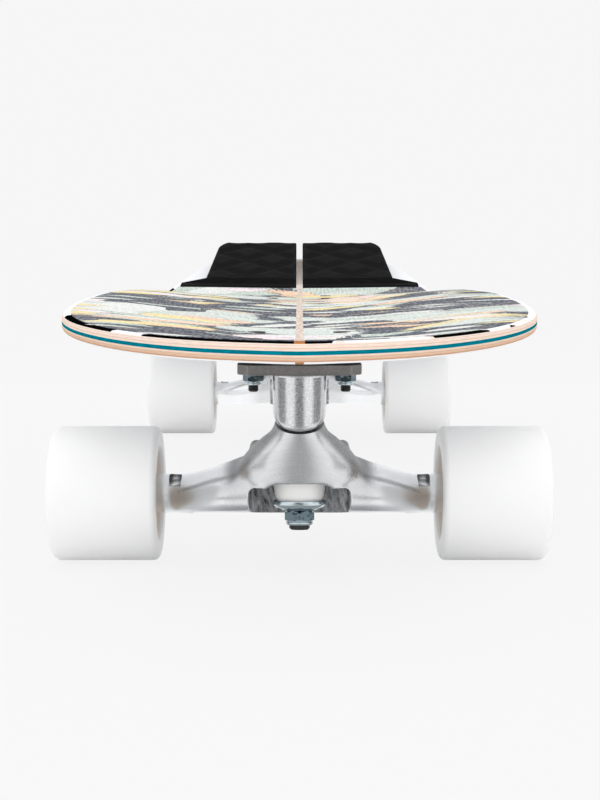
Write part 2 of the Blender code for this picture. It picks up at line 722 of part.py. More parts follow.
def cup_washer_mesh():
    """Pressed cup washer that holds the foot of the road-side bushing."""
    inner = KINGPIN_RADIUS + BORE_GAP
    bowl = ROAD_BUSHING_FOOT + GAP
    profile = [
        (inner, CUP_FOOT),
        (CUP_FOOT_RADIUS, CUP_FOOT),
        (CUP_SHOULDER_RADIUS, CUP_FOOT + CUP_DEPTH * CUP_SHOULDER_SHARE),
        (CUP_RADIUS, CUP_RIM),
        (road_bushing_radius(CUP_RIM) + GAP, CUP_RIM),
        (bowl, CUP_FLOOR_TOP),
        (inner, CUP_FLOOR_TOP),
    ]
    return turned(lathe(profile, BUSHING_SEGMENTS, True), along_kingpin())


def road_bushing_radius(offset):
    """Radius of the road-side cone at a place along the kingpin."""
    share = (offset - ROAD_BUSHING_FOOT_AT) / ROAD_BUSHING_HEIGHT
    waist = ROAD_BUSHING_SHOULDER_RADIUS
    if share < ROAD_BUSHING_SHOULDER:
        return ROAD_BUSHING_FOOT + (waist - ROAD_BUSHING_FOOT) * share / ROAD_BUSHING_SHOULDER
    past = (share - ROAD_BUSHING_SHOULDER) / (1.0 - ROAD_BUSHING_SHOULDER)
    return waist + (ROAD_BUSHING_RADIUS - waist) * past


def road_bushing_mesh():
    """Cone bushing under the hanger ring."""
    inner = KINGPIN_RADIUS + BORE_GAP
    top = -STACK_UP
    foot = ROAD_BUSHING_FOOT_AT
    profile = [(inner, foot)]
    for share in (0.0, ROAD_BUSHING_SHOULDER):
        offset = foot + ROAD_BUSHING_HEIGHT * share
        profile.append((road_bushing_radius(offset), offset))
    profile += [
        (ROAD_BUSHING_RADIUS, top - BUSHING_ROUND),
        (ROAD_BUSHING_RADIUS - BUSHING_ROUND, top),
        (inner, top),
    ]
    return turned(lathe(profile, BUSHING_SEGMENTS, True), along_kingpin())


def board_bushing_mesh():
    """Barrel bushing between the hanger ring and the baseplate boss."""
    inner = KINGPIN_RADIUS + BORE_GAP
    low = STACK_UP
    high = BOARD_BUSHING_TOP
    round_off = BUSHING_ROUND
    profile = [
        (inner, low),
        (BOARD_BUSHING_RADIUS - round_off, low),
        (BOARD_BUSHING_RADIUS, low + round_off),
        (BOARD_BUSHING_RADIUS, high - round_off),
        (BOARD_BUSHING_RADIUS - round_off, high),
        (inner, high),
    ]
    return turned(lathe(profile, BUSHING_SEGMENTS, True), along_kingpin())


def squircle(half_u, half_v, power):
    """Offsets of a rounded section with the given half sizes and squareness."""
    offsets = []
    for step in range(SECTION_POINTS):
        angle = math.tau * (step + 0.5) / SECTION_POINTS
        cos, sin = math.cos(angle), math.sin(angle)
        offsets.append((half_u * math.copysign(abs(cos) ** (2.0 / power), cos),
                        half_v * math.copysign(abs(sin) ** (2.0 / power), sin)))
    return offsets


def body_loops():
    """Plan sections of the hanger's body, from its foot up to the neck under the post."""
    behind = RING_CENTRE.y - KINGPIN_RADIUS
    front = -POST_AHEAD - POST_FOOT_RADIUS - GAP
    highest = POST_FOOT_FRONT.z + (behind - front) / math.tan(POST_FOOT_ANGLE)
    neck = (highest + NECK_MARGIN - AXLE_Z, NECK_HALF_WIDTH, front, behind, 2.0)
    loops = []
    for up, half, ahead, back, power in BODY_SECTIONS + (neck,):
        middle, depth = (ahead + back) / 2, (back - ahead) / 2
        loops.append([(x, middle + y, AXLE_Z + up) for x, y in squircle(half, depth, power)])
    return loops


def arm_loops():
    """Upright sections of the arms, from one end of the axle casing to the other."""
    boss = (-ARM_RADIUS, ARM_RADIUS, -ARM_RADIUS, ARM_RADIUS, 2.0)
    shoulder = ARM_SECTIONS[-1][0] + ARM_NOTCH
    right = list(ARM_SECTIONS) + [(shoulder, *boss), (HANGER_END, *boss)]
    left = [(-reach, *rest) for reach, *rest in reversed(right)]
    loops = []
    for reach, ahead, back, foot, top, power in left + right:
        offsets = squircle((back - ahead) / 2, (top - foot) / 2, power)
        loops.append([(reach, (ahead + back) / 2 + y, AXLE_Z + (top + foot) / 2 + z)
                      for y, z in offsets])
    return loops


def collar_mesh():
    """Round seat that holds the board-side bushing."""
    profile = [(0.0, -RING_WEB / 2), (COLLAR_RADIUS, -RING_WEB / 2),
               (COLLAR_RADIUS, COLLAR_TOP - COLLAR_CHAMFER), (COLLAR_RADIUS - COLLAR_CHAMFER, COLLAR_TOP),
               (0.0, COLLAR_TOP)]
    return turned(lathe(profile, CAST_SEGMENTS, False), along_kingpin())


def foot_tool():
    """Block that trims the body's foot on a slant, just clear of the round casing."""
    depth = ARM_RADIUS + BODY_FOOT_CLEAR
    size = RING_CENTRE.z
    half = HANGER_END * 2 / 3
    block = loft([[(x, y, z) for x, y in ((-half, -size), (half, -size), (half, size), (-half, size))]
                  for z in (-depth - size, -depth)])
    lean = Matrix.Rotation(-BODY_FOOT_LEAN, 4, "X")
    return turned(block, Matrix.Translation((0.0, 0.0, AXLE_Z)) @ lean)


def window_profile():
    """Front view of the pocket that shows the road-side bushing, one half then the other."""
    top = AXLE_Z + POCKET_TOP_UP
    half = POCKET_HALF_WIDTH
    corner = POCKET_CORNER
    right = [(half, 0.0)]
    right += [(half - corner + corner * math.cos(a), top - corner + corner * math.sin(a))
              for a in (0.0, math.pi / 4, math.pi / 2)]
    right.append((ARCH_HALF_WIDTH + ARCH_FLARE, top))
    right += [(ARCH_HALF_WIDTH * out, top + ARCH_RISE * up) for out, up in ARCH_POINTS]
    left = [(-x, z) for x, z in reversed(right)]
    return right + left


def hanger_cuts():
    """Tool solids that open the pocket, the seats, the kingpin bore and the axle bore."""
    ahead = -POCKET_BACK - TOOL_REACH
    window = loft([[(x, y, z) for x, z in window_profile()] for y in (ahead, -POCKET_BACK)])
    seat = turned(
        lathe([(0.0, RING_WEB / 2), (SEAT_RADIUS, RING_WEB / 2), (SEAT_RADIUS, TOOL_REACH),
               (0.0, TOOL_REACH)], CAST_SEGMENTS, False), along_kingpin())
    road_seat = ROAD_BUSHING_RADIUS + ROAD_SEAT_CLEAR
    under = turned(
        lathe([(0.0, -TOOL_REACH), (road_seat, -TOOL_REACH), (road_seat, -RING_WEB / 2),
               (0.0, -RING_WEB / 2)], CAST_SEGMENTS, False), along_kingpin())
    bore = turned(
        lathe([(0.0, -RING_WEB), (RING_BORE_RADIUS, -RING_WEB), (RING_BORE_RADIUS, RING_WEB),
               (0.0, RING_WEB)], BUSHING_SEGMENTS, False), along_kingpin())
    reach = HANGER_END + RING_THICKNESS
    shaft = AXLE_RADIUS + BORE_GAP
    axle = turned(
        lathe([(0.0, -reach), (shaft, -reach), (shaft, reach), (0.0, reach)], BOLT_SEGMENTS, False),
        along_x(0.0))
    notches = []
    for side in (-1.0, 1.0):
        start = side * ARM_SECTIONS[-1][0]
        finish = side * (ARM_SECTIONS[-1][0] + ARM_NOTCH)
        low = AXLE_Z + ARM_NOTCH_FLOOR
        high = AXLE_Z + ARM_RADIUS * 2
        half = ARM_NOTCH_WIDTH / 2
        section = [(-half, low), (half, low), (half, high), (-half, high)]
        notches.append(loft([[(x, y, z) for y, z in section] for x in (start, finish)]))
    return {"foot": foot_tool(), "window": window, "under": under, "seat": seat, "bore": bore,
            "axle": axle, "notch": merged(notches)}


def shoulder_tool():
    """Block that trims the neck parallel to the post's foot, just under it."""
    block = bmesh.new()
    bmesh.ops.create_cube(block, size=TOOL_REACH)
    bmesh.ops.translate(block, verts=block.verts, vec=(0.0, 0.0, TOOL_REACH / 2 - SHOULDER_GAP))
    return turned(block, Matrix.Translation(POST_FOOT_FRONT) @ rotation_to(FOOT_NORMAL))


def pivot_mesh():
    """Round-nosed pivot that stands on the neck and runs up into the post."""
    root = FOOT_ON_AXIS - PIVOT_ROOT
    tip = PIVOT_SEAT - GAP * 2
    profile = [(0.0, root), (PIVOT_RADIUS, root), (PIVOT_RADIUS, tip - PIVOT_NOSE),
               (PIVOT_NOSE_FACE, tip - PIVOT_NOSE_CROWN), (0.0, tip)]
    return turned(lathe(profile, BUSHING_SEGMENTS, False), along_steer())


def build_hanger(name, parent, material):
    """Cast hanger: body, arms and ribs joined, opened up and given its pivot."""
    hanger = add_object(name, loft(body_loops()), material, RING_CENTRE, parent)
    cuts = hanger_cuts()
    for label, solid in (("arms", loft(arm_loops())), ("collar", collar_mesh())):
        combine(hanger, add_cutter(f"{name}_{label}_tool", solid, parent), "UNION")
    for label in ("foot", "window", "under", "seat", "bore"):
        combine(hanger, add_cutter(f"{name}_{label}_tool", cuts[label], parent), "DIFFERENCE")
    combine(hanger, add_cutter(f"{name}_shoulder_tool", shoulder_tool(), parent), "DIFFERENCE")
    combine(hanger, add_cutter(f"{name}_pivot_tool", pivot_mesh(), parent), "UNION")
    for label in ("axle", "notch"):
        combine(hanger, add_cutter(f"{name}_{label}_tool", cuts[label], parent), "DIFFERENCE")
    return hanger


def build_truck(label, axle_y, turn, materials):
    """One complete truck with its wheels, in truck coordinates with the axle at y = 0."""
    truck = add_empty(f"{label}_truck", Vector((0.0, axle_y, 0.0)), None, turn)
    steer = add_empty(f"{label}_steering_axis", RING_CENTRE, truck)
    build_baseplate(f"{label}_baseplate", truck, materials["post_aluminium"])
    fixed = (
        ("pivot_cup", pivot_cup_mesh, "cup_plastic"),
        ("kingpin", kingpin_mesh, "black_steel"),
        ("kingpin_nut", kingpin_nut_mesh, "zinc_steel"),
        ("top_washer", top_washer_mesh, "zinc_steel"),
        ("cup_washer", cup_washer_mesh, "zinc_steel"),
        ("board_bushing", board_bushing_mesh, "bushing_white"),
        ("road_bushing", road_bushing_mesh, "bushing_white"),
    )
    for piece, maker, finish in fixed:
        add_object(f"{label}_{piece}", maker(), materials[finish], RING_CENTRE, truck)
    build_hanger(f"{label}_hanger", steer, materials["cast_aluminium"])
    axle_origin = Vector((0.0, 0.0, AXLE_Z))
    add_object(f"{label}_axle", axle_mesh(), materials["zinc_steel"], axle_origin, steer)
    for side, sign in (("left", -1.0), ("right", 1.0)):
        build_wheel_set(f"{label}_{side}", sign * (1.0 if turn == 0.0 else -1.0), steer, materials)


def build_wheel_set(prefix, sign, parent, materials):
    """Wheel, bearings, spacer, speed rings and nut on one end of an axle."""
    pieces = (
        ("wheel", wheel_mesh(), "urethane_white"),
        ("inner_bearing", bearing_mesh(INNER_BEARING_START, False), "bearing_steel"),
        ("outer_bearing", bearing_mesh(OUTER_BEARING_START, True), "bearing_steel"),
        ("bearing_spacer", ring_mesh(SPACER_START, SPACER_LENGTH, SPACER_RADIUS), "zinc_steel"),
        ("inner_speed_ring", ring_mesh(INNER_RING_START, RING_THICKNESS, RING_RADIUS), "zinc_steel"),
        ("outer_speed_ring", ring_mesh(OUTER_RING_START, RING_THICKNESS, RING_RADIUS), "zinc_steel"),
        ("axle_nut", axle_nut_mesh(), "zinc_steel"),
    )
    origin = Vector((sign * WHEEL_MIDDLE, 0.0, AXLE_Z))
    for piece, bm, finish in pieces:
        if sign < 0.0:
            bm = mirrored_x(bm)
        add_object(f"{prefix}_{piece}", bm, materials[finish], origin, parent)


def nose_rise(station):
    """Lift of the deck's middle line ahead of the front truck, level again at the nose tip."""
    ahead = -NOSE_LIFT_START - station
    share = min(max(ahead / (NOSE_OVERHANG - NOSE_LIFT_START), 0.0), 1.0)
    return NOSE_RISE * share * share * (3.0 - 2.0 * share)


def middle_rise(station):
    """Height of the deck's middle line above its seat on the trucks."""
    rise = nose_rise(station)
    camber_start = NOSE_LIFT_START
    camber_end = WHEELBASE - NOSE_LIFT_START
    if camber_start < station < camber_end:
        share = (station - camber_start) / (camber_end - camber_start)
        rise += CAMBER * math.sin(math.pi * share) ** 2
    past = station - WHEELBASE - KICK_START
    if past > 0.0:
        slope = math.tan(KICK_ANGLE)
        blended = past ** 2 / (2.0 * KICK_BLEND) if past < KICK_BLEND else past - KICK_BLEND / 2
        rise += slope * blended
    return rise


def concave_depth(station):
    """How far the rails stand above the middle line."""
    depth = CONCAVE - nose_rise(station)
    fade_start = WHEELBASE + CONCAVE_FADE_START
    fade_end = WHEELBASE + CONCAVE_FADE_END
    share = min(max((station - fade_start) / (fade_end - fade_start), 0.0), 1.0)
    return depth * (1.0 - share * share * (3.0 - 2.0 * share))


def side_half_width(station):
    """Half width of the deck behind its widest station, before the tail corners."""
    share = (station - WIDEST_STATION) / (TAIL_STATION - WIDEST_STATION)
    return DECK_HALF_WIDTH - (DECK_HALF_WIDTH - TAIL_HALF_WIDTH) * max(share, 0.0) ** TAIL_SWEEP


def half_width(station):
    """Half width of the deck at a station."""
    if station < WIDEST_STATION:
        reach = (WIDEST_STATION - station) / (WIDEST_STATION + NOSE_OVERHANG) * math.cos(TIP_ANGLE)
        return DECK_HALF_WIDTH * math.sqrt(max(1.0 - reach * reach, 0.0))
    corner = (station - (TAIL_STATION - TAIL_CORNER)) / TAIL_CORNER * math.cos(TIP_ANGLE)
    width = side_half_width(station)
    if corner > 0.0:
        width *= max(1.0 - corner ** TAIL_CORNER_POWER, 0.0) ** (1.0 / TAIL_CORNER_POWER)
    return width


def top_height(x, station):
    """Height of the deck's top surface, whose rails lie level at their outer edge."""
    width = max(half_width(station), DECK_ROUND)
    across = min(abs(x) / width, 1.0) ** 2
    return DECK_TOP + middle_rise(station) + concave_depth(station) * across * (2.0 - across)


def outline_stations():
    """Stations of the plan outline from nose tip to tail, close together where it turns."""
    stations = []
    for step in range(NOSE_STATIONS):
        angle = math.pi / 2 - TIP_ANGLE - (math.pi / 2 - TIP_ANGLE) * step / NOSE_STATIONS
        share = math.sin(angle) / math.cos(TIP_ANGLE)
        stations.append(WIDEST_STATION - (WIDEST_STATION + NOSE_OVERHANG) * share)
    side_end = TAIL_STATION - TAIL_CORNER
    kick = WHEELBASE + KICK_START
    for step in range(SIDE_STATIONS):
        stations.append(WIDEST_STATION + (kick - WIDEST_STATION) * step / SIDE_STATIONS)
    for step in range(KICK_STATIONS):
        stations.append(kick + (side_end - kick) * step / KICK_STATIONS)
    for step in range(CORNER_STATIONS + 1):
        stations.append(side_end + TAIL_CORNER * math.sin(math.pi / 2 * step / CORNER_STATIONS))
    return stations


def outline_points(inset, last=None):
    """Right half of the outline, moved inwards by an inset, optionally ending at a station."""
    stations = outline_stations()
    points = [Vector((half_width(station), station)) for station in stations]
    moved = []
    for index, point in enumerate(points):
        before = points[index - 1] if index else Vector((-point.x, point.y))
        after = points[index + 1] if index < len(points) - 1 else Vector((-point.x, point.y))
        along = ((point - before).normalized() + (after - point).normalized()).normalized()
        inward = Vector((-along.y, along.x))
        half_turn = max(inward.dot(Vector(((before - point).y, (point - before).x)).normalized()), 0.5)
        moved.append(point + inward * inset / half_turn)
    if last is None:
        return moved
    kept = [point for point in moved if point.y < last - GRIT_INSET]
    following = moved[len(kept)]
    share = (last - kept[-1].y) / (following.y - kept[-1].y)
    return kept + [kept[-1].lerp(following, share)]


def world_y(station):
    """Board station to the board's own Y."""
    return FRONT_AXLE_Y + station


def row_of(bm, points, heights, columns):
    """Grid rows across the board, one for each outline point, from the left rail to the right."""
    rows = []
    for point in points:
        row = []
        for column in range(columns + 1):
            x = point.x * (2.0 * column / columns - 1.0)
            row.append(bm.verts.new((x, world_y(point.y), heights(x, point.y))))
        rows.append(row)
    return rows


def skin_rows(bm, rows):
    """Quads between neighbouring grid rows."""
    for first, second in zip(rows, rows[1:]):
        for column in range(len(first) - 1):
            bm.faces.new((first[column], first[column + 1], second[column + 1], second[column]))


def rim_of(rows):
    """Closed loop of the outer vertices of a grid."""
    right = [row[-1] for row in rows]
    left = [row[0] for row in reversed(rows)]
    front = rows[0][1:-1]
    back = list(reversed(rows[-1][1:-1]))
    return front + right + back + left


def skin_rims(bm, upper, lower):
    """Wall between two rims of equal count."""
    count = len(upper)
    for index in range(count):
        after = (index + 1) % count
        bm.faces.new((upper[index], upper[after], lower[after], lower[index]))


def row_height(row, share):
    """Height of the faceted deck top along one grid row, share running from -1 to 1."""
    place = min(max((share + 1.0) / 2.0, 0.0), 1.0) * DECK_COLUMNS
    column = min(int(place), DECK_COLUMNS - 1)
    ends = [top_height(row.x * (2.0 * c / DECK_COLUMNS - 1.0), row.y) for c in (column, column + 1)]
    return ends[0] + (ends[1] - ends[0]) * (place - column)


def facet_height(x, station, rows):
    """Height of the faceted deck top at any place inside its rounded rails."""
    index = 0
    while index < len(rows) - 2 and rows[index + 1].y < station:
        index += 1
    before, after = rows[index], rows[index + 1]
    share = min(max((station - before.y) / (after.y - before.y), 0.0), 1.0)
    width = max(before.x + (after.x - before.x) * share, DECK_ROUND)
    across = x / width
    low, high = row_height(before, across), row_height(after, across)
    return low + (high - low) * share


def deck_mesh():
    """Pressed deck: concave, nose lift, kicktail and rounded rails."""
    bm = bmesh.new()
    inner = outline_points(DECK_ROUND)
    outer = outline_points(0.0)
    straight = DECK_THICKNESS / 2 - DECK_ROUND
    middle = DECK_THICKNESS / 2
    top = row_of(bm, inner, top_height, DECK_COLUMNS)
    bottom = row_of(bm, inner, lambda x, s: top_height(x, s) - DECK_THICKNESS, DECK_COLUMNS)
    skin_rows(bm, top)
    skin_rows(bm, bottom)
    bulge = DECK_ROUND * (1.0 - math.sqrt(0.5))
    shoulder = outline_points(bulge)
    levels = (
        (shoulder, middle - bulge), (outer, straight), (outer, -straight), (shoulder, bulge - middle))
    rims = [rim_of(top)]
    for ring, height in levels:
        rows = []
        for point, base in zip(ring, inner):
            z = top_height(base.x, base.y) - middle + height
            rows.append([bm.verts.new((-point.x, world_y(point.y), z)),
                         bm.verts.new((point.x, world_y(point.y), z))])
        end_columns = DECK_COLUMNS + 1
        for row in (rows[0], rows[-1]):
            first, last = row[0].co.copy(), row[-1].co.copy()
            fill = [bm.verts.new(first.lerp(last, step / (end_columns - 1)))
                    for step in range(1, end_columns - 1)]
            row[1:1] = fill
        rims.append(rim_of(rows))
    rims.append(rim_of(bottom))
    for upper, lower in zip(rims, rims[1:]):
        skin_rims(bm, upper, lower)
    bmesh.ops.remove_doubles(bm, verts=bm.verts, dist=MERGE_DISTANCE)
    bmesh.ops.dissolve_degenerate(bm, edges=bm.edges, dist=MERGE_DISTANCE)
    return bm


def grit_mesh():
    """Thin grit sheet laid over the deck from the nose to the tail pad."""
    bm = bmesh.new()
    points = outline_points(DECK_ROUND + GRIT_INSET, WHEELBASE + PAD_FRONT - GRIT_INSET)
    surface = outline_points(DECK_ROUND)
    foot = GRIT_LIFT
    top = row_of(bm, points, lambda x, s: facet_height(x, s, surface) + foot + GRIT_THICKNESS,
                 DECK_COLUMNS)
    bottom = row_of(bm, points, lambda x, s: facet_height(x, s, surface) + foot, DECK_COLUMNS)
    skin_rows(bm, top)
    skin_rows(bm, bottom)
    skin_rims(bm, rim_of(top), rim_of(bottom))
    bmesh.ops.remove_doubles(bm, verts=bm.verts, dist=MERGE_DISTANCE)
    bmesh.ops.dissolve_degenerate(bm, edges=bm.edges, dist=MERGE_DISTANCE)
    return bm


def deck_bolt_places():
    """Every deck bolt as (name, x, station)."""
    half = BOLT_ACROSS / 2
    places = []
    for truck, flip, axle in (("front", 1.0, 0.0), ("rear", -1.0, WHEELBASE)):
        for row, offset in (("outer", -BOLT_AHEAD), ("inner", -BOLT_AHEAD + BOLT_ALONG)):
            for side, x in (("left", -half), ("right", half)):
                places.append((f"{truck}_{row}_{side}_deck_bolt", x, axle + flip * offset))
    return places


def deck_bolt_mesh(x, station):
    """Countersunk deck bolt with its lock nut done up under the baseplate."""
    top = top_height(x, station) - BOLT_HEAD_SUNK
    nut_top = PLATE_FOOT - GAP
    nut_foot = nut_top - BOLT_NUT_HEIGHT
    flats = BOLT_NUT_FLATS
    body = nut_top - BOLT_NUT_HEIGHT * NUT_HEX_SHARE
    profile = [
        (0.0, top),
        (BOLT_HEAD_RADIUS, top),
        (BOLT_RADIUS, top - BOLT_HEAD_DEPTH),
        (BOLT_RADIUS, nut_top),
        (flats / 2, nut_top, "hex"),
        (flats / 2, body, "hex"),
        (BOLT_NUT_COLLAR, nut_foot),
        (BOLT_RADIUS, nut_foot),
        (BOLT_RADIUS, nut_foot - BOLT_TAIL),
        (0.0, nut_foot - BOLT_TAIL),
    ]
    bm = lathe(profile, BOLT_SEGMENTS, False, flats=flats)
    return turned(bm, Matrix.Translation((x, world_y(station), 0.0)))


def deck_hole_tools():
    """Countersunk bolt holes through the deck, and clear holes through the grit sheet."""
    deck_holes = []
    grit_holes = []
    for _, x, station in deck_bolt_places():
        surface = top_height(x, station)
        top = surface - BOLT_HEAD_SUNK
        sink = (BOLT_HEAD_RADIUS + BORE_GAP) / HOLE_FLAT
        bore = (BOLT_RADIUS + BORE_GAP) / HOLE_FLAT
        profile = [
            (0.0, surface + DECK_ROUND),
            (sink, surface + DECK_ROUND),
            (sink, top),
            (bore, top - BOLT_HEAD_DEPTH),
            (bore, PLATE_TOP - GAP),
            (0.0, PLATE_TOP - GAP),
        ]
        place = Matrix.Translation((x, world_y(station), 0.0))
        deck_holes.append(turned(lathe(profile, HOLE_SEGMENTS, False), place))
        low, high = surface - DECK_ROUND, surface + DECK_ROUND
        clear = [(0.0, low), (GRIT_HOLE_RADIUS, low), (GRIT_HOLE_RADIUS, high), (0.0, high)]
        grit_holes.append(turned(lathe(clear, HOLE_SEGMENTS, False), place))
    return merged(deck_holes), merged(grit_holes)


def pad_half_width(along):
    """Half width of the tail pad at a distance behind its front edge."""
    if along <= PAD_LEDGE:
        return PAD_LEDGE_HALF_WIDTH
    share = (along - PAD_LEDGE) / (PAD_LENGTH - PAD_LEDGE)
    width = PAD_BODY_FRONT_HALF + (PAD_BODY_REAR_HALF - PAD_BODY_FRONT_HALF) * share
    corner = (along - (PAD_LENGTH - PAD_CORNER)) / PAD_CORNER
    if corner > 0.0:
        width -= PAD_CORNER * (1.0 - math.sqrt(max(1.0 - corner * corner, 0.0)))
    return width


def pad_thickness(x, along):
    """Foam thickness: thin ledge, rising wedge and rolled edges."""
    if along <= PAD_LEDGE:
        return PAD_FRONT_THICKNESS
    share = (along - PAD_LEDGE) / (PAD_LENGTH - PAD_LEDGE)
    thickness = PAD_STEP_THICKNESS + (PAD_REAR_THICKNESS - PAD_STEP_THICKNESS) * share
    edge = min(pad_half_width(along) - x, PAD_LENGTH - along) / PAD_EDGE_BAND
    if edge < 1.0:
        thickness -= PAD_EDGE_DROP * (1.0 - max(edge, 0.0)) ** 2
    return thickness


def with_edge(start, end, steps):
    """Evenly spaced places that close up over the rolled edge at the end."""
    inner = end - PAD_EDGE_BAND
    even = [start + (inner - start) * step / steps for step in range(steps + 1)]
    return even + [end - PAD_EDGE_BAND / 3, end]


def pad_mesh(sign, surface):
    """One half of the tail pad, as a closed wedge on the kicktail."""
    bm = bmesh.new()
    top, bottom = [], []
    step_back = PAD_LEDGE + PAD_STEP_RUN
    for along in [0.0, PAD_LEDGE] + with_edge(step_back, PAD_LENGTH, PAD_ROWS):
        station = WHEELBASE + PAD_FRONT + along
        upper, lower = [], []
        for x in with_edge(PAD_SPLIT / 2, pad_half_width(along), PAD_COLUMNS):
            foot = facet_height(x, station, surface) + GRIT_LIFT
            lower.append(bm.verts.new((sign * x, world_y(station), foot)))
            upper.append(bm.verts.new((sign * x, world_y(station), foot + pad_thickness(x, along))))
        top.append(upper)
        bottom.append(lower)
    skin_rows(bm, top)
    skin_rows(bm, bottom)
    skin_rims(bm, rim_of(top), rim_of(bottom))
    return bm


def quilt_grooves(sign, lean, surface):
    """Parallel V grooves that run one way across a pad half and follow its top."""
    grooves = []
    depth = QUILT_DEPTH + QUILT_CROSS_STEP * lean
    reach = PAD_BODY_FRONT_HALF + PAD_EDGE_BAND
    slope = QUILT_ALONG / QUILT_ACROSS * lean
    first = -2 * int(reach / QUILT_ACROSS / 2 + 1) + 1
    last = int(PAD_LENGTH / QUILT_ALONG + reach / QUILT_ACROSS) + 1
    lowest = PAD_LEDGE + QUILT_FRONT_CLEAR
    for line in range(first, last, 2):
        places = []
        count = int(reach / QUILT_STEP)
        for step in range(count + 1):
            x = reach * step / count - GAP
            places.append((x, line * QUILT_ALONG - x * slope))
        kept = [place for place in places if lowest < place[1] < PAD_LENGTH + QUILT_STEP]
        if len(kept) < 3:
            continue
        side = Vector((slope, 1.0)).normalized() * QUILT_GROOVE_HALF * 2
        loops = []
        for x, along in kept:
            inside = min(along, PAD_LENGTH)
            station = WHEELBASE + PAD_FRONT + along
            within = min(max(x, PAD_SPLIT / 2), pad_half_width(inside))
            foot = facet_height(within, WHEELBASE + PAD_FRONT + inside, surface) + GRIT_LIFT
            z = foot + pad_thickness(within, inside)
            loops.append([(sign * x, world_y(station), z - depth),
                          (sign * (x + side.x), world_y(station) + side.y, z + depth),
                          (sign * (x - side.x), world_y(station) - side.y, z + depth)])
        grooves.append(loft(loops))
    return merged(grooves)


def build_pads(material):
    """Both halves of the tail pad with their diamond grooves."""
    surface = outline_points(DECK_ROUND)
    for side, sign in (("left", -1.0), ("right", 1.0)):
        pad = add_object(f"tail_pad_{side}", pad_mesh(sign, surface), material, Vector(), None)
        for label, lean in (("up", 1.0), ("down", -1.0)):
            tool = add_cutter(f"tail_pad_{side}_{label}_tool", quilt_grooves(sign, lean, surface), None)
            combine(pad, tool, "DIFFERENCE")


def build_deck(materials):
    """Deck, grit sheet, tail pad halves and deck bolts."""
    deck = add_object("deck", deck_mesh(), materials["maple"], Vector(), None)
    grit = add_object("grit_sheet", grit_mesh(), materials["grit"], Vector(), None)
    deck_holes, grit_holes = deck_hole_tools()
    combine(deck, add_cutter("deck_holes_tool", deck_holes, None), "DIFFERENCE")
    combine(grit, add_cutter("grit_holes_tool", grit_holes, None), "DIFFERENCE")
    build_pads(materials["pad_foam"])
    for name, x, station in deck_bolt_places():
        place = Vector((x, world_y(station), PLATE_TOP))
        add_object(name, deck_bolt_mesh(x, station), materials["black_steel"], place, None)


def main():
    """Build the whole board."""
    clear_scene()
    materials = make_materials()
    build_deck(materials)
    build_truck("front", FRONT_AXLE_Y, 0.0, materials)
    build_truck("rear", REAR_AXLE_Y, math.pi, materials)


main()
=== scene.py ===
"""Looks of the surf-style longboard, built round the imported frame.

Lengths are in metres, the nose points to -Y and the ground is z = 0. A truck's pieces are made in the
truck's own coordinates, with its axle at y = 0 and its kingpin towards -Y, and are placed twice.
"""
import json
import math

import bmesh
import bpy
from bpy.props import BoolProperty, FloatProperty, FloatVectorProperty, IntProperty, PointerProperty
from bpy.types import Operator, Panel, PropertyGroup
from mathutils import Matrix, Vector

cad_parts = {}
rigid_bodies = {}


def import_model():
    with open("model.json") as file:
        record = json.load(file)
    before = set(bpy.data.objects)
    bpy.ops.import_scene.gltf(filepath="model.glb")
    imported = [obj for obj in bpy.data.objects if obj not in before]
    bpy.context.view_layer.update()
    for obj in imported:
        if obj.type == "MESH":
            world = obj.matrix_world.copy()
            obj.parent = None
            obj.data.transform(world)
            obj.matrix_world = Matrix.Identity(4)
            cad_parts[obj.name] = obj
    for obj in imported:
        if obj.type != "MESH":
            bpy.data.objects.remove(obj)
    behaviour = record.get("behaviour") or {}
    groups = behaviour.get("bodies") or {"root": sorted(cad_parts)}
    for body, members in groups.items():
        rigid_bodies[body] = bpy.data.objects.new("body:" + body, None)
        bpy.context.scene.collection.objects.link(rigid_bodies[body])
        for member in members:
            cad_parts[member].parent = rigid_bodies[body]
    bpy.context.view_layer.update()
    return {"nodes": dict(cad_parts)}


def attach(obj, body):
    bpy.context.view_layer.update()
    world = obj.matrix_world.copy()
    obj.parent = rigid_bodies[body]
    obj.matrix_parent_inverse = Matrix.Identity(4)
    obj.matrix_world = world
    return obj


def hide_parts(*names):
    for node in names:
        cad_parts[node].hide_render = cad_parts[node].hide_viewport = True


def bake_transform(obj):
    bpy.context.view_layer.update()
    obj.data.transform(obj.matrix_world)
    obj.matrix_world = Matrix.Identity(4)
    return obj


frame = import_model()

bl_info = {
    "name": "Longboard looks",
    "version": (1, 0, 0),
    "blender": (4, 5, 0),
    "location": "3D View > Sidebar > Longboard",
    "description": "Dresses the longboard's frame with its finished pieces, stage and camera",
    "category": "Object",
}

# Places along the board
AXLE_Z = 0.0315
FRONT_AXLE_Y = -0.225
REAR_AXLE_Y = 0.24
PLATE_TOP = 0.0967
DECK_TOP = 0.105
TRUCKS = (("front", FRONT_AXLE_Y, 1.0), ("rear", REAR_AXLE_Y, -1.0))
SIDES = (("left", -1.0), ("right", 1.0))

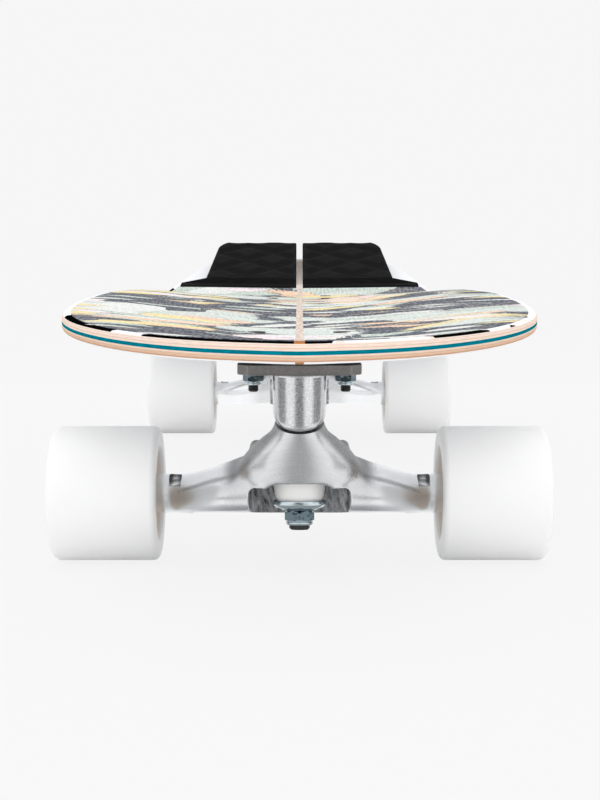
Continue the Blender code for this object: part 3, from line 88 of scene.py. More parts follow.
# Deck outline and press, by stations measured from the front axle towards the tail
WHEELBASE = REAR_AXLE_Y - FRONT_AXLE_Y
NOSE_OVERHANG = 0.165
TAIL_STATION = 0.615
DECK_HALF_WIDTH = 0.127
WIDEST_STATION = 0.17
TAIL_HALF_WIDTH = 0.071
TAIL_SWEEP = 4.4
TAIL_CORNER = 0.028
TAIL_CORNER_POWER = 3.2
TIP_ANGLE = math.radians(0.9)
DECK_THICKNESS = 0.008
DECK_ROUND = 0.0022
PLY_COUNT = 7
CONCAVE = 0.009
NOSE_RISE = 0.0088
NOSE_LIFT_START = 0.045
CAMBER = 0.002
KICK_START = 0.0372
KICK_BLEND = 0.024
KICK_ANGLE = math.radians(16.0)
CONCAVE_FADE_START = -0.09
CONCAVE_FADE_END = 0.11
NOSE_STATIONS = 56
SIDE_STATIONS = 24
KICK_STATIONS = 20
CORNER_STATIONS = 14
DECK_COLUMNS = 36
SHEET_SHARP = 60.0
ROUND_STEPS = 5

# Grit sheet
GRIT_INSET = 0.004
GRIT_SIDE_SPREAD = 0.002
GRIT_LIFT = 0.00003
GRIT_THICKNESS = 0.00022
STRINGER_HALF = 0.0019
UNDER_STRIPE_HALF = 0.0016
PRINT_LAYERS = ((0.7, (11.0, 20.0), 0.44, 3.1), (-0.75, (16.0, 34.0), 0.36, 7.7),
                (0.2, (26.0, 60.0), 0.34, 1.9))
PRINT_TINTS = ((0.0, (196, 207, 198)), (0.22, (228, 230, 226)), (0.38, (240, 222, 166)),
               (0.5, (212, 219, 213)), (0.64, (240, 204, 176)), (0.78, (243, 228, 232)),
               (0.88, (214, 222, 216)))
# Ply tones from top to bottom; the darker lower plies are partly the wood's own tone and partly painted
# shade of the rounding that faces down.
PLY_TONES = ((0.0, (232, 216, 204)), (1.0, (236, 220, 208)), (2.0, (232, 208, 192)), (3.0, (236, 220, 204)),
             (4.2, (230, 208, 190)), (5.0, (222, 192, 168)), (6.0, (206, 170, 142)), (7.0, (160, 120, 92)))

# Tail pad
PAD_FRONT = 0.068
PAD_LENGTH = 0.076
PAD_LEDGE = 0.0075
PAD_LEDGE_HALF_WIDTH = 0.0975
PAD_BODY_FRONT_HALF = 0.0775
PAD_BODY_REAR_HALF = 0.0685
PAD_SPLIT = 0.0052
PAD_FRONT_THICKNESS = 0.0015
PAD_STEP_THICKNESS = 0.0056
PAD_REAR_THICKNESS = 0.0172
PAD_CORNER = 0.012
PAD_EDGE_ROUND = 0.0026
PAD_STEP_RUN = 0.0011
PAD_LIFT = 0.0002
PAD_END_TAPER = 0.0012
QUILT_ACROSS = 0.022
QUILT_ALONG = 0.014
PAD_GRID = 0.001

# Wheels, bearings and axle
WHEEL_RADIUS = 0.0315
WHEEL_WIDTH = 0.05
WHEEL_INNER_FACE = 0.0655
WHEEL_MOUTH_RADIUS = 0.022
WHEEL_OUTER_MOUTH_RADIUS = 0.0205
WHEEL_LIP = 0.0014
CORE_FLOOR = 0.0026
CORE_RIB = 0.0006
BEARING_FIT = 0.0002
CORE_WEB_RADIUS = 0.0095
WHEEL_SEGMENTS = 160
WHEEL_SHARP = 50.0
HANGER_END = 0.075
GAP = 0.0003
RING_THICKNESS = 0.001
RING_RADIUS = 0.0062
RING_FIT = 0.0001
RING_EDGE = 0.0002
BEARING_RADIUS = 0.011
BEARING_WIDTH = 0.007
BEARING_FACE = ((0.0041, 0.0004), (0.0043, 0.0), (0.0056, 0.0), (0.0058, 0.0002), (0.006, 0.0006),
                (0.007, 0.0004), (0.0086, 0.0004), (0.0093, 0.0006), (0.0096, 0.0001), (0.0098, 0.0),
                (0.0105, 0.0), (0.0109, 0.0002), (0.011, 0.0006))
SPACER_LENGTH = 0.01
AXLE_RADIUS = 0.004
AXLE_NUT_FLATS = 0.0127
AXLE_NUT_HEIGHT = 0.0056
AXLE_NUT_COLLAR = 0.0055
AXLE_THREAD_OUT = 0.0024
AXLE_CHAMFER = 0.0007
THREAD_PITCH = 0.0009
THREAD_DEPTH = 0.00035
THREAD_FIT = 0.0001
THREAD_RUN_IN = 0.001
FINE_SEGMENTS = 72
ROD_SEGMENTS = 48
INNER_RING_START = HANGER_END + GAP
INNER_BEARING_START = INNER_RING_START + RING_THICKNESS + GAP
SPACER_START = INNER_BEARING_START + BEARING_WIDTH + GAP
OUTER_BEARING_START = SPACER_START + SPACER_LENGTH + GAP
OUTER_RING_START = OUTER_BEARING_START + BEARING_WIDTH + GAP
AXLE_NUT_START = OUTER_RING_START + RING_THICKNESS + GAP
AXLE_END = AXLE_NUT_START + AXLE_NUT_HEIGHT + AXLE_THREAD_OUT

# Nuts, in shares of their height and of their flats, and the angle of their sharp edges
NUT_BODY = 0.7
NUT_CHAMFER = 0.06
NUT_ROLL = 0.45
NUT_FOOT_FACE = 0.93
NUT_TOP_FACE = 0.95
NUT_CORNER_SLOPE = 0.58
NUT_FLAT_TOP = 0.86
NUT_SHARP = 25.0

# Truck axes
STEER_ANGLE = math.radians(61.0)
KINGPIN_LEAN = math.radians(7.0)
KINGPIN_AHEAD = 0.0203
RING_CENTRE = Vector((0.0, -KINGPIN_AHEAD, AXLE_Z + 0.015))
STEER_AXIS = Vector((0.0, -math.cos(STEER_ANGLE), math.sin(STEER_ANGLE)))
KINGPIN_AXIS = Vector((0.0, math.sin(KINGPIN_LEAN), math.cos(KINGPIN_LEAN)))

# Baseplate
PLATE_WIDTH = 0.0545
PLATE_THICKNESS = 0.0052
PLATE_FOOT = PLATE_TOP - PLATE_THICKNESS
PLATE_FRONT = -0.051
PLATE_REAR = 0.0349
PLATE_CORNER = 0.0045
POST_AHEAD = 0.037
POST_TOP_RADIUS = 0.0123
POST_FOOT_RADIUS = 0.0113
POST_FOOT_DROP = 0.0314
POST_FOOT_ANGLE = math.radians(68.0)
POST_FOOT_ROUND = 0.0036
POST_FOOT_FRONT = Vector((0.0, -POST_AHEAD - POST_FOOT_RADIUS, PLATE_TOP - POST_FOOT_DROP))
FOOT_NORMAL = Vector((0.0, -math.cos(POST_FOOT_ANGLE), math.sin(POST_FOOT_ANGLE)))
PIVOT_START = (POST_FOOT_FRONT - RING_CENTRE).dot(FOOT_NORMAL) / STEER_AXIS.dot(FOOT_NORMAL)
PIVOT_RADIUS = 0.0056
PIVOT_NOSE = 0.0031
PIVOT_REACH = 0.0076
PIVOT_ROOT = 0.006
PIVOT_BORE_RADIUS = 0.0075
PIVOT_BORE_DROP = 0.008
PIVOT_BORE_RISE = 0.01
BOSS_RADIUS = 0.0105
BOSS_ROOT_RADIUS = 0.0125
BOSS_FOOT = 0.0178
RIB_HALF = 0.0035
RIB_LENGTH = 0.033
RIB_DEPTH = 0.019

# Deck bolts and kingpin stack; a chamfer is (how far in, how far up)
BOLT_ACROSS = 0.0413
BOLT_ROWS = (("outer", -0.031), ("inner", 0.0229))
BOLT_RADIUS = 0.0024
BOLT_HEAD_RADIUS = 0.0045
BOLT_HEAD_DEPTH = 0.0024
BOLT_NUT_FLATS = 0.0081
BOLT_NUT_HEIGHT = 0.0057
BOLT_NUT_COLLAR = 0.0035
BOLT_TAIL = 0.0028
BOLT_STAND = 0.0006
BOLT_EDGE = 0.0003
BOLT_CHAMFER = (0.0005, 0.0004)
BOLT_SOCKET_FLATS = 0.004
KINGPIN_RADIUS = 0.0047
KINGPIN_NUT_FLATS = 0.0134
KINGPIN_NUT_HEIGHT = 0.0066
KINGPIN_NUT_COLLAR = 0.0062
KINGPIN_TAIL = 0.0021
KINGPIN_CHAMFER = (0.0008, 0.0006)
RING_WEB = 0.0052
BOARD_BUSHING_HEIGHT = 0.0124
BOARD_BUSHING_RADIUS = 0.0122
BOARD_BUSHING_EDGE = 0.0012
ROAD_BUSHING_HEIGHT = 0.0145
ROAD_BUSHING_RADIUS = 0.0126
ROAD_BUSHING_EDGE = 0.0014
ROAD_BUSHING_FOOT = 0.0096
ROAD_BUSHING_FOOT_EDGE = 0.0004
ROAD_BUSHING_SIDE = ((0.0108, 0.0), (0.0111, 0.0012), (0.0117, 0.0045), (0.0122, 0.0075))
TOP_WASHER_RADIUS = 0.0112
TOP_WASHER_EDGE = 0.0004
CUP_DEPTH = 0.003
CUP_WALL = 0.0015
CUP_RADIUS = 0.0123
CUP_CURL = 0.0005
CUP_FOOT_RADIUS = 0.0078
CUP_FOOT_ROUND = 0.0012
CUP_SIDE = ((0.011, 0.0014), (0.0121, 0.0025))
STACK_UP = RING_WEB / 2 + GAP
BOARD_BUSHING_TOP = STACK_UP + BOARD_BUSHING_HEIGHT
ROAD_FOOT = -STACK_UP - ROAD_BUSHING_HEIGHT
CUP_FLOOR = ROAD_FOOT - GAP
CUP_FOOT = CUP_FLOOR - CUP_WALL
NUT_TOP = CUP_FOOT - GAP
NUT_FOOT = NUT_TOP - KINGPIN_NUT_HEIGHT
KINGPIN_FOOT = NUT_FOOT - KINGPIN_TAIL

# Hanger; a lobe section is (reach, front, rear, foot, top, squareness) and a body section is
# (height, half width, front, rear, squareness), all from the axle
ARM_RADIUS = 0.0091
TUBE_SECTIONS = (
    (0.0150, -0.0382, 0.0093, -0.0091, 0.0168, 2.5),
    (0.0190, -0.0366, 0.0093, -0.0091, 0.0164, 2.5),
    (0.0270, -0.0318, 0.0093, -0.0091, 0.0146, 2.4),
    (0.0345, -0.0264, 0.0093, -0.0091, 0.0118, 2.3),
    (0.0440, -0.0194, 0.0091, -0.0091, 0.0086, 2.2),
    (0.0548, -0.0124, 0.0089, -0.0091, 0.0074, 2.1),
)
RIDGE_SECTIONS = (
    (0.0150, -0.0370, 0.0093, 0.0000, 0.0225, 2.3),
    (0.0190, -0.0350, 0.0093, 0.0000, 0.0212, 2.3),
    (0.0270, -0.0280, 0.0093, 0.0000, 0.0182, 2.2),
    (0.0345, -0.0202, 0.0093, 0.0000, 0.0150, 2.1),
    (0.0440, -0.0126, 0.0091, 0.0000, 0.0115, 2.1),
    (0.0548, -0.0082, 0.0088, 0.0000, 0.0088, 2.0),
)
BODY_SECTIONS = (
    (-0.0100, 0.0235, -0.0250, 0.0070, 2.6),
    (0.0000, 0.0262, -0.0368, 0.0090, 2.4),
    (0.0070, 0.0272, -0.0402, 0.0088, 2.3),
    (0.0125, 0.0278, -0.0418, 0.0065, 2.2),
    (0.0165, 0.0276, -0.0424, 0.0030, 2.2),
    (0.0205, 0.0256, -0.0430, -0.0010, 2.1),
    (0.0250, 0.0220, -0.0437, -0.0070, 2.1),
    (0.0300, 0.0170, -0.0448, -0.0135, 2.0),
    (0.0350, 0.0120, -0.0464, -0.0200, 2.0),
    (0.0460, 0.0090, -0.0486, -0.0250, 2.0),
)
CASING_REACH = 0.016
CASING_HALF_DEPTH = 0.0212
CASING_AHEAD = 0.012
CASING_SINK = 0.0001
CASING_SQUARENESS = 2.4
RIDGE_END = 0.003
COLLAR_EDGE = 0.001
ROAD_SEAT_GAP = 0.001
FLANGE_SOFTEN = 3
CASTING_SHARP = 40.0
LUG_REACH = 0.0198
LUG_UP = 0.025
LUG_RADIUS = 0.0031
JUNCTION = ((0.014, 0.019), (0.03, 0.04), (-0.001, 0.005), (0.0165, 0.0215))
JUNCTION_ROUNDS = 160
BODY_FOOT_LEAN = math.radians(12.0)
COLLAR_RADIUS = 0.0205
COLLAR_TOP = 0.0104
RING_BORE_RADIUS = 0.009
SEAT_RADIUS = 0.0151
POCKET_HALF_WIDTH = 0.0228
POCKET_TOP_UP = 0.008
POCKET_CORNER = 0.003
ARCH_HALF_WIDTH = 0.0134
ARCH_RISE = 0.0026
ARCH_FLARE = 0.0014
ARCH_POINTS = ((0.94, 0.62), (0.76, 0.93), (0.3, 1.0))
POCKET_BACK = 0.0088
ARM_NOTCH = 0.0066
ARM_NOTCH_WIDTH = 0.0112
ARM_NOTCH_LEVELS = ((0.005, 0.72), (0.0058, 0.86), (0.0182, 1.0))
ARM_NOTCH_SQUARENESS = 3.0
ARM_NOTCH_LEAN = math.radians(28.0)
SHOULDER_GAP = 0.0009
TOOL_REACH = 0.06
SECTION_POINTS = 56
SECTION_STEPS = 6

# Where the hanger's finish, its painted shade and its painted light change, from its middle: the two ends of
# each change
SHOULDER_FLANK = (0.0362, 0.0398)
SHOULDER_UP = (0.006, 0.011)
SHOULDER_END = (0.03, 0.037)
HOLLOW_BACK = (-0.033, -0.029)
FRONT_FACE = (0.018, 0.028)
ARM_FACE = (0.029, 0.04)
NOTCH_SPAN = (0.0551, 0.0556, 0.0607, 0.0612)

# Camera, worked out from the photograph
CAMERA_BACK = 0.702
CAMERA_HEIGHT = 0.1505
CAMERA_PITCH = math.radians(6.1)
FOCAL_PIXELS = 1507.0
FRAME_HEIGHT = 800.0
CAMERA_SHIFT = 0.5 / FRAME_HEIGHT
SENSOR = 36.0

# Lights: name, place, size, watts and what they point at
LAMPS = (("top_box", (0.0, -0.2, 2.2), 1.8, 9.0, (0.0, -0.1, 0.05)),
         ("front_box", (0.0, -2.2, 1.0), 1.6, 6.0, (0.0, -0.1, 0.05)),
         ("under_box", (0.0, -0.1, 0.05), 0.06, 0.15, (0.0, REAR_AXLE_Y, AXLE_Z)))

# Mirrored panels: their size, their tones, and their level by degrees round from the front
PANEL_RADIUS = 1.7
PANEL_HEIGHT = 3.4
PANEL_FOOT_TONE = (0.98, 0.98, 0.99)
PANEL_TOP_TONE = (0.84, 0.84, 0.85)
CARD_HEIGHT = 0.0006
# Grey of the reflected floor right under the front truck: a painted shadow that only reflections see.
SHADOWED_FLOOR_TONE = (0.36, 0.38, 0.39)
NEAR_EDGE = (0.24, 0.36)
PANEL_LEVELS = ((0.0, 0.13), (15.0, 0.16), (22.0, 1.08), (56.0, 1.12), (64.0, 0.16), (99.0, 0.18),
                (107.0, 0.82), (136.0, 0.82), (145.0, 0.98), (180.0, 1.0))
NEAR_LEVELS = ((0.0, 0.42), (14.0, 0.46), (34.0, 0.86), (60.0, 1.05), (96.0, 1.0), (140.0, 0.8),
               (180.0, 1.0))


def screen(red, green, blue):
    """Linear colour of an 8-bit screen colour."""
    linear = []
    for value in (red, green, blue):
        share = value / 255.0
        linear.append(share / 12.92 if share <= 0.04045 else ((share + 0.055) / 1.055) ** 2.4)
    return tuple(linear)


# Pale and dark grain of the wood, in the open and under the grit
BARE_WOOD = (screen(190, 140, 100), screen(140, 96, 62))
RIM_WOOD = (screen(206, 138, 84), screen(150, 86, 40))
GRIT_WOOD = (screen(220, 207, 198), screen(204, 184, 168))


def color_setting(name, description, default):
    """Colour that the panel shows."""
    return FloatVectorProperty(name=name, description=description, subtype="COLOR", size=3, default=default)


def length_setting(name, description, default, low, high):
    """Length in metres that the panel shows."""
    return FloatProperty(name=name, description=description, subtype="DISTANCE", unit="LENGTH",
                         default=default, min=low, max=high)


class DeckLooks(PropertyGroup):
    """Colours of the deck and its print."""

    dye: color_setting("Dyed ply", "Colour of the middle ply", screen(0, 128, 146))
    ground: color_setting("Print ground", "Dark ground of the print", screen(6, 6, 7))
    misted: color_setting("Misted ground", "The ground as it shows through the grit", screen(92, 95, 103))
    underside: color_setting("Underside", "Lacquer under the deck", screen(238, 239, 241))


class PadLooks(PropertyGroup):
    """Foam of the tail pad."""

    foam: color_setting("Foam", "Colour of the foam", screen(15, 14, 15))
    groove: length_setting("Groove depth", "Depth of the quilting", 0.0023, 0.0, 0.004)
    groove_half: length_setting("Groove half width", "Half width of one groove", 0.0064, 0.0005, 0.009)


class WheelLooks(PropertyGroup):
    """Urethane of the wheels."""

    urethane: color_setting("Urethane", "Colour of the wheels", screen(238, 238, 238))
    outer_round: length_setting("Outer edge", "Rounding of the outer edge", 0.0042, 0.001, 0.008)
    inner_round: length_setting("Inner edge", "Rounding of the inner edge", 0.003, 0.001, 0.008)


class TruckLooks(PropertyGroup):
    """Castings and fasteners of the trucks."""

    hanger: color_setting("Hanger", "Tone of the hanger's aluminium", (0.8, 0.81, 0.82))
    baseplate: color_setting("Baseplate", "Tone of the baseplate's aluminium", (0.36, 0.345, 0.33))
    zinc: color_setting("Zinc", "Tone of the plated steel", (0.68, 0.77, 0.81))
    # The nuts' flats are painted darker than the rest of the nut: a painted reflection of dark surroundings.
    flats: color_setting("Nut flats", "Tone of the nuts' flats", (0.16, 0.21, 0.24))
    grain: length_setting("Casting grain", "Size of a casting's detail when skinned", 0.00055, 0.0003, 0.002)
    soften: IntProperty(
        name="Softening", description="Rounds of smoothing on a casting", default=30, min=0, max=60)


class StageLooks(PropertyGroup):
    """Floor, backdrop and lights."""

    backdrop: color_setting("Backdrop", "Colour of the floor and the backdrop", screen(246, 246, 246))
    daylight: FloatProperty(
        name="Room light", description="Level of the room's even light", default=1.05, min=0.0, max=2.0)
    shadow: FloatProperty(
        name="Shadow", description="How much of the floor's shadow shows", subtype="FACTOR",
        default=0.09, min=0.0, max=1.0)
    panels: BoolProperty(
        name="Panels", description="Put panels round the board for the metal to mirror", default=True)


class Signal:
    """A node's output that plain arithmetic can be written with."""

    def __init__(self, finish, socket):
        self.finish = finish
        self.socket = socket

    def maths(self, operation, *values):
        """One Math node on the given values."""
        return self.finish.node("Math", {"operation": operation}, dict(enumerate(values)))

    def __add__(self, other):
        return self.maths("ADD", self, other)

    def __radd__(self, other):
        return self.maths("ADD", other, self)

    def __sub__(self, other):
        return self.maths("SUBTRACT", self, other)

    def __rsub__(self, other):
        return self.maths("SUBTRACT", other, self)

    def __mul__(self, other):
        return self.maths("MULTIPLY", self, other)

    def __rmul__(self, other):
        return self.maths("MULTIPLY", other, self)

    def __truediv__(self, other):
        return self.maths("DIVIDE", self, other)

    def __abs__(self):
        return self.maths("ABSOLUTE", self)

    def floor(self):
        """Whole number below the value."""
        return self.maths("FLOOR", self)

    def root(self):
        """Square root of the value."""
        return self.maths("SQRT", self)

    def most(self, other):
        """Larger of the two values."""
        return self.maths("MAXIMUM", self, other)


class Finish:
    """A material, or the world, that is being wired up."""

    def __init__(self, name, owner=None, **constants):
        self.material = owner or bpy.data.materials.new(name)
        self.material.use_nodes = True
        self.nodes = self.material.node_tree.nodes
        self.links = self.material.node_tree.links
        self.paint(**constants)

    def feed(self, socket, value):
        """Set a socket to a number or colour, or link it to a signal."""
        if isinstance(value, Signal):
            self.links.new(value.socket, socket)
        elif socket.type == "RGBA":
            socket.default_value = (*value[:3], 1.0)
        else:
            socket.default_value = value

    def node(self, kind, settings=None, inputs=None, output=0):
        """Add a shader node: its settings first, then the values or links of its sockets."""
        made = self.nodes.new("ShaderNode" + kind)
        for name, value in (settings or {}).items():
            if name == "stops":
                self.set_stops(made.color_ramp, value)
            else:
                setattr(made, name, value)
        for socket, value in (inputs or {}).items():
            self.feed(made.inputs[socket], value)
        return Signal(self, made.outputs[output])

    def set_stops(self, ramp, stops):
        """Give a colour ramp its stops, as (place, colour)."""
        while len(ramp.elements) < len(stops):
            ramp.elements.new(1.0)
        for element, (place, color) in zip(ramp.elements, stops):
            element.position = place
            element.color = (*color, 1.0)

    def paint(self, **sockets):
        """Feed the shader's own sockets; a name's underscores stand for spaces."""
        for name, value in sockets.items():
            label = name.replace("_", " ").title().replace("Ior", "IOR")
            self.feed(self.nodes["Principled BSDF"].inputs[label], value)

    def coat(self, color, roughness, height, depth, strength):
        """Give the shader its colour, roughness and bumps, and hand the material over."""
        normal = self.node("Bump", None, {
            "Height": height, "Distance": depth, "Strength": strength})
        self.paint(base_color=color, roughness=roughness, normal=normal)
        return self.material

    def show(self, shader, output="Material Output"):
        """Send a shader to the surface of the output."""
        self.links.new(shader.socket, self.nodes[output].inputs["Surface"])

    def place(self):
        """Coordinates in the piece's own frame."""
        return self.node("TexCoord", output="Object")

    def split(self, vector):
        """The three numbers of a vector."""
        first = self.node("SeparateXYZ", None, {0: vector})
        return [Signal(self, output) for output in first.socket.node.outputs]

    def joined(self, x, y, z):
        """A vector from three numbers."""
        return self.node("CombineXYZ", None, {0: x, 1: y, 2: z})

    def scaled(self, vector, scale):
        """A vector times another."""
        return self.node("VectorMath", {"operation": "MULTIPLY"}, {0: vector, 1: scale})

    def added(self, vector, other):
        """A vector plus another."""
        return self.node("VectorMath", {"operation": "ADD"}, {0: vector, 1: other})

    def noise(self, vector, scale, detail=2.0, roughness=0.5, distortion=0.0, output=0):
        """Soft noise between 0 and 1, at a vector or three numbers; three scales stretch it."""
        if isinstance(vector, tuple):
            vector = self.joined(*vector)
        if isinstance(scale, tuple):
            vector, scale = self.scaled(vector, scale), 1.0
        return self.node("TexNoise", None, {
            "Vector": vector, "Scale": scale, "Detail": detail, "Roughness": roughness,
            "Distortion": distortion}, output)

    def cells(self, vector, scale, output="Distance"):
        """Cell pattern: the distance to, or the random colour of, the nearest cell."""
        return self.node("TexVoronoi", None, {"Vector": vector, "Scale": scale}, output)

    def smooth(self, value, low, high):
        """0 below the low value, 1 above the high one, smooth between."""
        return self.node("MapRange", {"interpolation_type": "SMOOTHSTEP"}, {
            "Value": value, "From Min": low, "From Max": high})

    def fade(self, value, low, high):
        """1 below the low value, 0 above the high one, smooth between."""
        return 1.0 - self.smooth(value, low, high)

    def band(self, value, low, start, end, high):
        """1 from the start to the end, 0 beyond the low and the high value."""
        return self.smooth(value, low, start) - self.smooth(value, end, high)

    def spread(self, value, low, high):
        """Stretch a 0 to 1 value to another range."""
        return self.node("MapRange", None, {"Value": value, "To Min": low, "To Max": high})

    def ramp(self, value, stops, interpolation="LINEAR"):
        """Colour from stops along 0 to 1."""
        made = self.node("ValToRGB", {"stops": stops}, {0: value})
        made.socket.node.color_ramp.interpolation = interpolation
        return made

    def mix(self, factor, first, second):
        """Colour between two."""
        return self.node("Mix", {"data_type": "RGBA"}, {0: factor, 6: first, 7: second}, 2)

    def tinted(self, color, tone):
        """A colour times a grey tone."""
        return self.node("Mix", {"data_type": "RGBA", "blend_type": "MULTIPLY"}, {
            0: 1.0, 6: color, 7: self.joined(tone, tone, tone)}, 2)


def rotation_to(axis):
    """Rotation that turns +Z onto an axis."""
    return Vector((0.0, 0.0, 1.0)).rotation_difference(axis).to_matrix().to_4x4()


def along_x(start):
    """Matrix that lays a lathe along the axle."""
    return Matrix.Translation((start, 0.0, AXLE_Z)) @ rotation_to(Vector((1.0, 0.0, 0.0)))


def along_kingpin():
    """Matrix from a lathe to the kingpin's line, zero in the middle of the hanger's ring."""
    return Matrix.Translation(RING_CENTRE) @ rotation_to(KINGPIN_AXIS)


def along_steering():
    """Matrix from a lathe to the steering axis, zero in the middle of the hanger's ring."""
    return Matrix.Translation(RING_CENTRE) @ rotation_to(STEER_AXIS)


def truck_matrix(axle_y, facing):
    """Matrix from truck coordinates to the board's frame."""
    turn = 0.0 if facing > 0.0 else math.pi
    return Matrix.Translation((0.0, axle_y, 0.0)) @ Matrix.Rotation(turn, 4, "Z")


def hung(height):
    """Matrix that turns a nut over and hangs it from a height."""
    return Matrix.Translation((0.0, 0.0, height)) @ Matrix.Rotation(math.pi, 4, "X")


def trucks():
    """Each truck's name and its matrix from truck coordinates."""
    return [(truck, truck_matrix(axle_y, facing)) for truck, axle_y, facing in TRUCKS]


def turned(bm, matrix):
    """Move a whole bmesh by a matrix."""
    bmesh.ops.transform(bm, matrix=matrix, verts=bm.verts)
    return bm


def join_rings(bm, first, second):
    """Skin the strip between two rings, either of which may be one point."""
    size = max(len(first), len(second))
    for step in range(size):
        after = (step + 1) % size
        if len(first) == 1:
            bm.faces.new((first[0], second[step], second[after]))
        elif len(second) == 1:
            bm.faces.new((first[step], second[0], first[after]))
        else:
            bm.faces.new((first[step], second[step], second[after], first[after]))


def lathe(profile, segments=FINE_SEGMENTS, closed=False, flats=0.0, turn=0.0):
    """Turn (radius, height) points about +Z. A point marked "hex" follows a hexagon of that size
    across its flats, and one with a slope after the mark falls away towards the hexagon's corners."""
    bm = bmesh.new()
    rings = []
    for radius, height, *shape in profile:
        if radius <= 0.0:
            rings.append([bm.verts.new((0.0, 0.0, height))])
            continue
        ring = []
        for step in range(segments):
            angle = math.tau * step / segments
            reach, fall = radius, 0.0
            if shape:
                off_flat = ((angle - turn) % math.radians(60.0)) - math.radians(30.0)
                reach = flats / 2 / math.cos(off_flat) * radius
                fall = (reach - flats / 2 * radius) * (shape[1] if len(shape) > 1 else 0.0)
            ring.append(bm.verts.new((reach * math.cos(angle), reach * math.sin(angle), height + fall)))
        rings.append(ring)
    count = len(rings)
    for index in range(count if closed else count - 1):
        join_rings(bm, rings[index], rings[(index + 1) % count])
    return bm


def loft(loops):
    """Skin a stack of loops of equal counts and close both ends."""
    bm = bmesh.new()
    rings = [[bm.verts.new(point) for point in loop] for loop in loops]
    for first, second in zip(rings, rings[1:]):
        join_rings(bm, first, second)
    bm.faces.new(rings[0])
    bm.faces.new(rings[-1])
    bmesh.ops.recalc_face_normals(bm, faces=bm.faces)
    return bm


def merged(parts):
    """Gather several shells into one bmesh."""
    target = bmesh.new()
    for part in parts:
        bmesh.ops.recalc_face_normals(part, faces=part.faces)
        mesh = mesh_of("shell", part)
        target.from_mesh(mesh)
        bpy.data.meshes.remove(mesh)
    return target


def arc(centre_r, centre_z, radius, start, end, steps):
    """Points on an arc in the (radius, height) plane, angles in degrees."""
    points = []
    for step in range(steps + 1):
        angle = math.radians(start + (end - start) * step / steps)
        points.append((centre_r + radius * math.cos(angle), centre_z + radius * math.sin(angle)))
    return points


def rod(radius, low, high):
    """Profile of a plain cylinder."""
    return [(0.0, low), (radius, low), (radius, high), (0.0, high)]


def eased(sections, steps):
    """More sections between the given ones, on smooth curves through them."""
    padded = [sections[0], *sections, sections[-1]]
    fine = []
    for before, first, second, after in zip(padded, padded[1:], padded[2:], padded[3:]):
        for step in range(steps):
            t = step / steps
            fine.append(tuple(
                0.5 * (2 * b + (c - a) * t + (2 * a - 5 * b + 4 * c - d) * t * t
                       + (3 * b - a - 3 * c + d) * t ** 3)
                for a, b, c, d in zip(before, first, second, after)))
    fine.append(tuple(sections[-1]))
    return fine


def squircle(half_u, half_v, power):
    """Offsets of a rounded section with the given half sizes and squareness."""
    offsets = []
    for step in range(SECTION_POINTS):
        angle = math.tau * (step + 0.5) / SECTION_POINTS
        cos, sin = math.cos(angle), math.sin(angle)
        offsets.append((half_u * math.copysign(abs(cos) ** (2.0 / power), cos),
                        half_v * math.copysign(abs(sin) ** (2.0 / power), sin)))
    return offsets


def mesh_of(name, bm):
    """Hand a bmesh over to a mesh of its own."""
    mesh = bpy.data.meshes.new(name)
    bm.to_mesh(mesh)
    bm.free()
    return mesh


def smoothed(mesh, sharp):
    """Shade a mesh smooth but for edges sharper than an angle in degrees."""
    mesh.shade_smooth()
    mesh.set_sharp_from_angle(angle=math.radians(sharp))
    return mesh


def finish_mesh(name, bm, sharp=35.0):
    """Mesh from a bmesh, smooth but for its sharp edges."""
    bmesh.ops.recalc_face_normals(bm, faces=bm.faces)
    return smoothed(mesh_of(name, bm), sharp)


def placed(name, data):
    """A new object in the scene."""
    thing = bpy.data.objects.new(name, data)
    bpy.context.scene.collection.objects.link(thing)
    return thing


def add_piece(name, mesh, finishes, body, replaced=(), matrix=None):
    """Put one finished piece on its body."""
    if not mesh.materials:
        for finish in finishes:
            mesh.materials.append(finish)
    piece = placed(name, mesh)
    piece.matrix_world = matrix or Matrix.Identity(4)
    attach(piece, body)
    if replaced:
        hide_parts(*replaced)
    return piece


def settled(obj):
    """Take an object's modifiers into its mesh, and hand the mesh back."""
    graph = bpy.context.evaluated_depsgraph_get()
    mesh = bpy.data.meshes.new_from_object(obj.evaluated_get(graph))
    old = obj.data
    obj.modifiers.clear()
    obj.data = mesh
    bpy.data.meshes.remove(old)
    return mesh


def carved(obj, tools):
    """Cut closed tool shapes out of an object."""
    for tool in tools:
        bmesh.ops.recalc_face_normals(tool, faces=tool.faces)
        mesh = mesh_of("tool", tool)
        cutter = placed("tool", mesh)
        cut = obj.modifiers.new("cut", "BOOLEAN")
        cut.operation = "DIFFERENCE"
        cut.solver = "MANIFOLD"
        cut.object = cutter
        settled(obj)
        bpy.data.objects.remove(cutter)
        bpy.data.meshes.remove(mesh)


def softened(obj, rounds, group=""):
    """Smooth an object's mesh, or only a group of its vertices."""
    soft = obj.modifiers.new("soften", "SMOOTH")
    soft.factor = 0.5
    soft.iterations = rounds
    soft.vertex_group = group
    settled(obj)


def soften_junctions(obj):
    """Run the hanger's body softly into its arms."""
    inner, outer, lower, upper = JUNCTION
    group = obj.vertex_groups.new(name="junction")
    for vertex in obj.data.vertices:
        reach, up = abs(vertex.co.x), vertex.co.z - AXLE_Z
        weight = eased_between(reach, *inner) * (1.0 - eased_between(reach, *outer))
        weight *= eased_between(up, *lower) * (1.0 - eased_between(up, *upper))
        if weight > 0.0:
            group.add([vertex.index], weight, "REPLACE")
    softened(obj, JUNCTION_ROUNDS, group.name)
    obj.vertex_groups.clear()


def cast(name, solids, looks, rounds, hollows=(), bores=()):
    """A casting: solids run together with fillets, hollows cut and softened, then machined bores."""
    obj = placed(name, mesh_of(name, merged(solids)))
    skin_casting(obj, looks, rounds)
    if hollows:
        soften_junctions(obj)
        carved(obj, hollows)
        skin_casting(obj, looks, 2)
    carved(obj, bores)
    mesh = obj.data
    bpy.data.objects.remove(obj)
    mesh.materials.clear()
    return smoothed(mesh, CASTING_SHARP)


